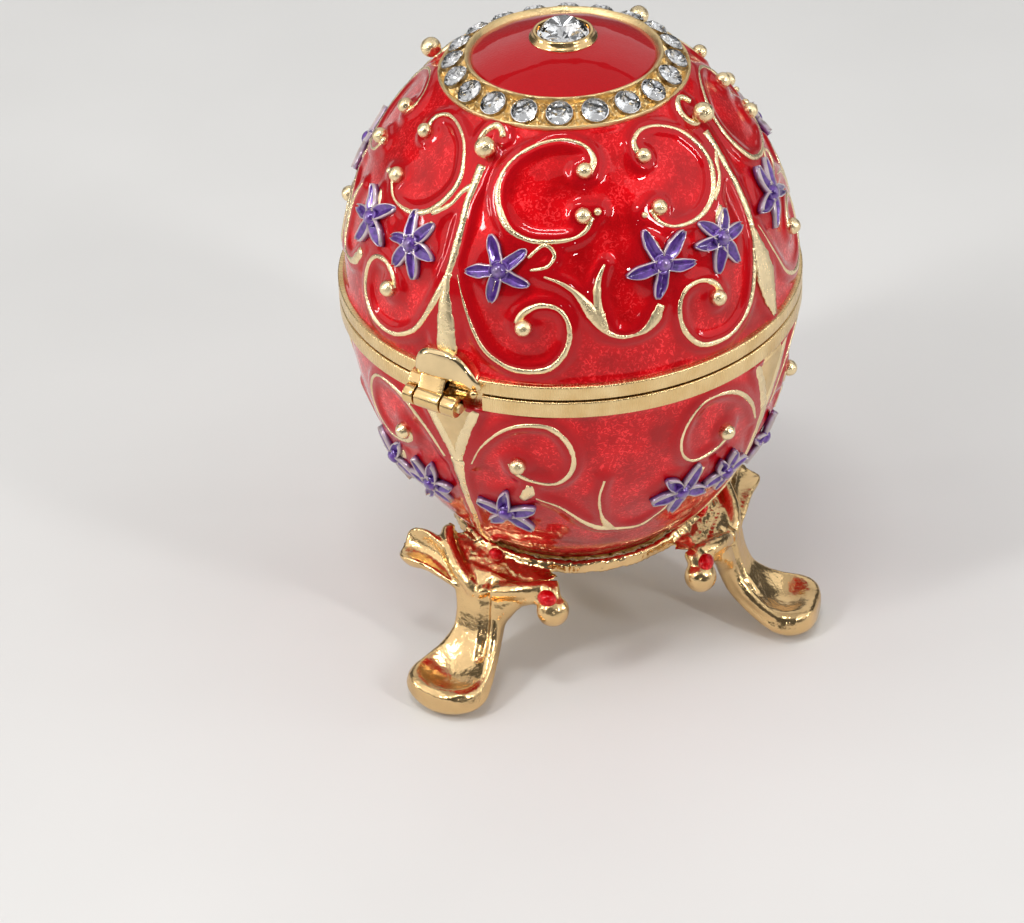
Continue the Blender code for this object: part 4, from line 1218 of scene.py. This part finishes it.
def violet_enamel():
    """Glossy violet, pale at the petals' edges and tips, partly gold rims and partly painted highlight,
    and with a painted highlight on each eye.
    """
    material = new_material("violet_enamel", (0.10, 0.05, 0.30), 0.28, 0.35, 1.0, 0.05)
    nodes = Nodes(material)
    # Pale where the edge value is high: gold rims with a painted highlight on the petals, a painted
    # highlight on the eyes.
    edge = nodes.span(nodes.value("edge"), 0.25, 1.0, 0.0, 0.85)
    ground = nodes.ramp(nodes.noise(1500.0, 3.0),
                        ((0.30, (0.045, 0.012, 0.15)), (0.70, (0.17, 0.055, 0.40))))
    colour = nodes.mix(edge, ground, (0.86, 0.72, 0.62))
    nodes.join(colour, nodes.shader.inputs["Base Color"])
    normal = nodes.bump(nodes.noise(2200.0, 3.0), 0.00003, 0.6)
    nodes.join(normal, nodes.shader.inputs["Normal"])
    return material


def clear_crystal():
    """See-through stone with a faint haze on its facets."""
    material = new_material("clear_crystal", (1.0, 1.0, 1.0), 0.0)
    shader = material.node_tree.nodes["Principled BSDF"]
    shader.inputs["Transmission Weight"].default_value = 1.0
    shader.inputs["IOR"].default_value = 1.9
    nodes = Nodes(material)
    haze = nodes.span(nodes.noise(900.0, 2.0), 0.35, 0.75, 0.0, 0.03)
    nodes.join(haze, shader.inputs["Roughness"])
    return material


def mirror_foil():
    material = new_material("mirror_foil", (0.92, 0.92, 0.93), 0.05, 1.0)
    nodes = Nodes(material)
    nodes.join(nodes.span(nodes.noise(1500.0, 2.0), 0.3, 0.7, 0.02, 0.10),
               nodes.shader.inputs["Roughness"])
    return material


# Light, floor and camera

VIEW_ANGLE = 123.0
ELEVATION = 0.5444636
ROLL = 0.0288124
PAN = 0.0194988
TILT = -0.0568700
DISTANCE = 14.07 * RADIUS
LENS = 114.33
SENSOR = 36.0
CLIP_START = 0.01
FLOOR_REACH = 1.5
WORLD_COLOUR = (0.86, 0.88, 0.92, 1.0)
WORLD_STRENGTH = 0.11
WHITE = (1.0, 1.0, 1.0)
# Name, azimuth from the camera's and elevation in degrees, distance and size in m, power, colour
LIGHTS = (("left_soft", -80, 36, 0.80, (0.90, 0.90), 2.6, (1.0, 0.98, 0.96)),
          ("right_soft", 84, 32, 0.80, (0.80, 0.80), 2.0, (0.96, 0.98, 1.0)),
          ("back", 178, 36, 0.90, (1.30, 0.60), 1.7, WHITE),
          ("overhead", 0, 88, 0.90, (1.30, 1.20), 2.4, WHITE),
          ("left_strip", -54, 38, 0.60, (0.05, 0.20), 1.05, WHITE),
          ("right_strip", 48, 30, 0.60, (0.04, 0.16), 0.80, WHITE),
          ("high_left", -18, 72, 0.60, (0.16, 0.05), 0.75, WHITE),
          ("low_left", -86, 8, 0.60, (0.03, 0.14), 0.35, WHITE),
          ("low_right", 88, 8, 0.60, (0.03, 0.14), 0.30, WHITE),
          ("front", 5, 14, 0.60, (0.012, 0.030), 0.09, WHITE))


def make_camera():
    """Camera at the photograph's place: aimed at the parting's middle, then panned and rolled."""
    turn = Matrix.Rotation(math.radians(VIEW_ANGLE + 90.0), 3, "Z")
    back = Vector((0.0, -math.cos(ELEVATION), math.sin(ELEVATION)))
    rows = Matrix(((1.0, 0.0, 0.0), Vector((1.0, 0.0, 0.0)).cross(-back), -back))
    tilt = Matrix(((1, 0, 0), (0, math.cos(TILT), -math.sin(TILT)),
                   (0, math.sin(TILT), math.cos(TILT))))
    pan = Matrix(((math.cos(PAN), 0, math.sin(PAN)), (0, 1, 0), (-math.sin(PAN), 0, math.cos(PAN))))
    roll = Matrix(((math.cos(ROLL), -math.sin(ROLL), 0), (math.sin(ROLL), math.cos(ROLL), 0),
                   (0, 0, 1)))
    right, up, forward = (turn @ row for row in (roll @ pan @ tilt @ rows))
    data = bpy.data.cameras.new("camera")
    data.lens = LENS
    data.sensor_width = SENSOR
    data.clip_start = CLIP_START
    camera = bpy.data.objects.new("camera", data)
    bpy.context.scene.collection.objects.link(camera)
    pose = Matrix((right, up, -forward)).transposed().to_4x4()
    pose.translation = CENTRE + turn @ back * DISTANCE
    camera.matrix_world = pose
    bpy.context.scene.camera = camera


def add_light(name, azimuth, elevation, distance, size, power, colour):
    """A rectangular light aimed at the egg."""
    turn = math.radians(VIEW_ANGLE + azimuth)
    rise = math.radians(elevation)
    data = bpy.data.lights.new(name, "AREA")
    data.shape = "RECTANGLE"
    data.size, data.size_y = size
    data.energy = power
    data.color = colour
    light = bpy.data.objects.new(name, data)
    bpy.context.scene.collection.objects.link(light)
    aim = Vector((math.cos(turn) * math.cos(rise), math.sin(turn) * math.cos(rise),
                  math.sin(rise)))
    light.location = CENTRE + aim * distance
    light.rotation_euler = aim.to_track_quat("Z", "Y").to_euler()


def make_stage():
    """Pale floor, plain world and soft lights."""
    mesh = bpy.data.meshes.new("floor")
    corners = [(x * FLOOR_REACH, y * FLOOR_REACH, 0.0) for x, y in ((-1, -1), (1, -1), (1, 1), (-1, 1))]
    mesh.from_pydata(corners, [], [(0, 1, 2, 3)])
    floor = bpy.data.objects.new("floor", mesh)
    bpy.context.scene.collection.objects.link(floor)
    material = new_material("floor", (0.72, 0.70, 0.68), 0.7)
    nodes = Nodes(material)
    tone = nodes.ramp(nodes.noise(18.0, 3.0),
                      ((0.30, (0.70, 0.69, 0.67)), (0.70, (0.73, 0.72, 0.70))))
    nodes.join(tone, nodes.shader.inputs["Base Color"])
    mesh.materials.append(material)
    world = bpy.data.worlds.new("studio")
    bpy.context.scene.world = world
    world.use_nodes = True
    background = world.node_tree.nodes["Background"]
    background.inputs["Color"].default_value = WORLD_COLOUR
    background.inputs["Strength"].default_value = WORLD_STRENGTH
    for light in LIGHTS:
        add_light(*light)
    bpy.context.scene.view_settings.view_transform = "Standard"


# Making

red = red_enamel()
gold = polished_gold("polished_gold", (0.84, 0.58, 0.27), 0.17)
wire_gold = polished_gold("wire_gold", (1.0, 0.80, 0.48), 0.24, 0.00010, 3600.0)
rough_gold = polished_gold("rough_gold", (0.86, 0.64, 0.32), 0.36, 0.00010, 3000.0)
plate_gold = polished_gold("plate_gold", (0.90, 0.68, 0.38), 0.12, 0.00001)
inside_gold = polished_gold("inside_gold", (0.86, 0.62, 0.30), 0.30)
matte_gold = polished_gold("matte_gold", (0.84, 0.62, 0.33), 0.40, 0.00014, 2000.0)
cast_gold = polished_gold("cast_gold", (0.82, 0.56, 0.27), 0.17, 0.00009, 1500.0)
milled = milled_gold()
violet = violet_enamel()
crystal = clear_crystal()
mirror = mirror_foil()

BEZEL_FOOT_RADIUS = 3.9 * MM
ENAMEL_LOW = -33.4 * MM
CUP_FLOOR = 32.8 * MM
CUP_RADIUS = 3.2 * MM
CUP_TOP = (3.3 * MM, 33.6 * MM)
BACKING_TOP = 33.9 * MM
CAVITY_TOP = 32.2 * MM
REBATE = 0.3 * MM
UNDER_ENAMEL = 0.3 * MM
AXIS_RADIUS = 0.1 * MM
CAST_SIDES = 160
BAND_SIDES = 720
BAND_ROUNDING = 0.22 * MM
# Section of the crown's cup as (radius, height over the lid's top) in mm
CROWN_CUP = ((2.6, -0.9), (3.3, -0.6), (3.3, 0.55), (3.68, 0.55), (3.85, 0.05), (4.25, -0.30),
             (4.1, -0.9), (2.6, -0.9))

band_top = GAP / 2 + LID_BAND
band_bottom = -GAP / 2 - BOWL_BAND
ring_centre, ring_tangent, _ = ring_seat()
ring_outer = (ring_centre + ring_tangent * RING_HALF)[1]
ring_inner_radius = RING_RADIUS - ring_tangent[0] * RING_HALF
ring_inner = LID_HEIGHT * math.sqrt(1.0 - (ring_inner_radius / SHELL) ** 2)
bezel_foot = LID_HEIGHT * math.sqrt(1.0 - (BEZEL_FOOT_RADIUS / SHELL) ** 2)

lid_red = Piece()
make_enamel(lid_red, LID_HEIGHT, band_top, ring_outer, ROWS, (LID_WIRES, LID_BALLS, LID_FLOWERS))
make_enamel(lid_red, LID_HEIGHT, ring_inner, bezel_foot, DOME_ROWS, None, 0.0)
lid_enamel = lid_red.build("lid_enamel", red, "lid", "red_enamel")
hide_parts("lid")

bowl_red = Piece()
make_enamel(bowl_red, BOWL_HALF_HEIGHT, ENAMEL_LOW, band_bottom, ROWS,
            (BOWL_WIRES, BOWL_BALLS, BOWL_FLOWERS))
bowl_enamel = bowl_red.build("bowl_enamel", red, "base", "red_enamel")
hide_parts("bowl")

cavity = SHELL - WALL
rebate = cavity + REBATE
inside = cavity + 0.1 * MM
lid_profile = [(AXIS_RADIUS / 2, CUP_FLOOR), (CUP_RADIUS, CUP_FLOOR), CUP_TOP]
lid_profile += section_points(LID_HEIGHT, BACKING_TOP, band_top, 24, -UNDER_ENAMEL)
lid_profile += [(rebate, band_top), (rebate, GAP / 2 + 0.02 * MM), (cavity, GAP / 2 + REBATE)]
lid_profile += [(cavity * math.sin(a), CAVITY_TOP * math.cos(a))
                for a in np.linspace(math.pi / 2 - 0.02, 0.01, 24)]
lid_casting = make_turned("lid_casting", lid_profile, CAST_SIDES, inside_gold, "lid")
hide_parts("lid")
lid_band = rounded([(inside, GAP / 2), (RADIUS, GAP / 2), (RADIUS, band_top),
                    (SHELL - 0.4 * MM, band_top + 0.05 * MM), (inside, band_top),
                    (inside, GAP / 2)], BAND_ROUNDING)[:-1]
make_turned("lid_band", lid_band, BAND_SIDES, milled, "lid", torus=True)

inner_half = BOWL_HALF_HEIGHT - WALL
floor_depth = BOWL_DEPTH - WALL
bowl_profile = [(AXIS_RADIUS, -floor_depth)]
bowl_profile += [(cavity * math.cos(a), -inner_half * math.sin(a))
                 for a in np.linspace(math.asin(floor_depth / inner_half), 0.02, 24)]
bowl_profile += [(rebate, -GAP / 2 - 0.02 * MM), (rebate, band_bottom)]
bowl_profile += section_points(BOWL_HALF_HEIGHT, band_bottom, -BOWL_DEPTH, 24, -UNDER_ENAMEL)
bowl_profile += [(AXIS_RADIUS, -BOWL_DEPTH)]
bowl_casting = make_turned("bowl_casting", bowl_profile, CAST_SIDES, inside_gold, "base")
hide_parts("bowl")
bowl_band = rounded([(inside, -GAP / 2), (RADIUS, -GAP / 2), (RADIUS, band_bottom),
                     (SHELL - 0.4 * MM, band_bottom), (inside, band_bottom),
                     (inside, -GAP / 2)], BAND_ROUNDING)[:-1]
make_turned("bowl_band", bowl_band, BAND_SIDES, milled, "base", torus=True, notch=NOTCH)

crown_cup = rounded([(r * MM, LID_HEIGHT + z * MM) for r, z in CROWN_CUP], 0.15 * MM)[:-1]
make_turned("crown_setting", crown_cup, 72, gold, "lid", torus=True)
make_ring_setting(rough_gold)
make_stones(crystal, mirror)
make_gold_work("lid_gold_work", LID_WIRES, LID_BALLS, wire_gold, "lid")
make_gold_work("bowl_gold_work", BOWL_WIRES, BOWL_BALLS, wire_gold, "base")
make_wedges(matte_gold)
make_flowers("lid_flowers", LID_FLOWERS, violet, "lid")
make_flowers("bowl_flowers", BOWL_FLOWERS, violet, "base")
make_hinge(gold, rough_gold)
make_plate(plate_gold)
make_stand(cast_gold, red)
make_camera()
make_stage()
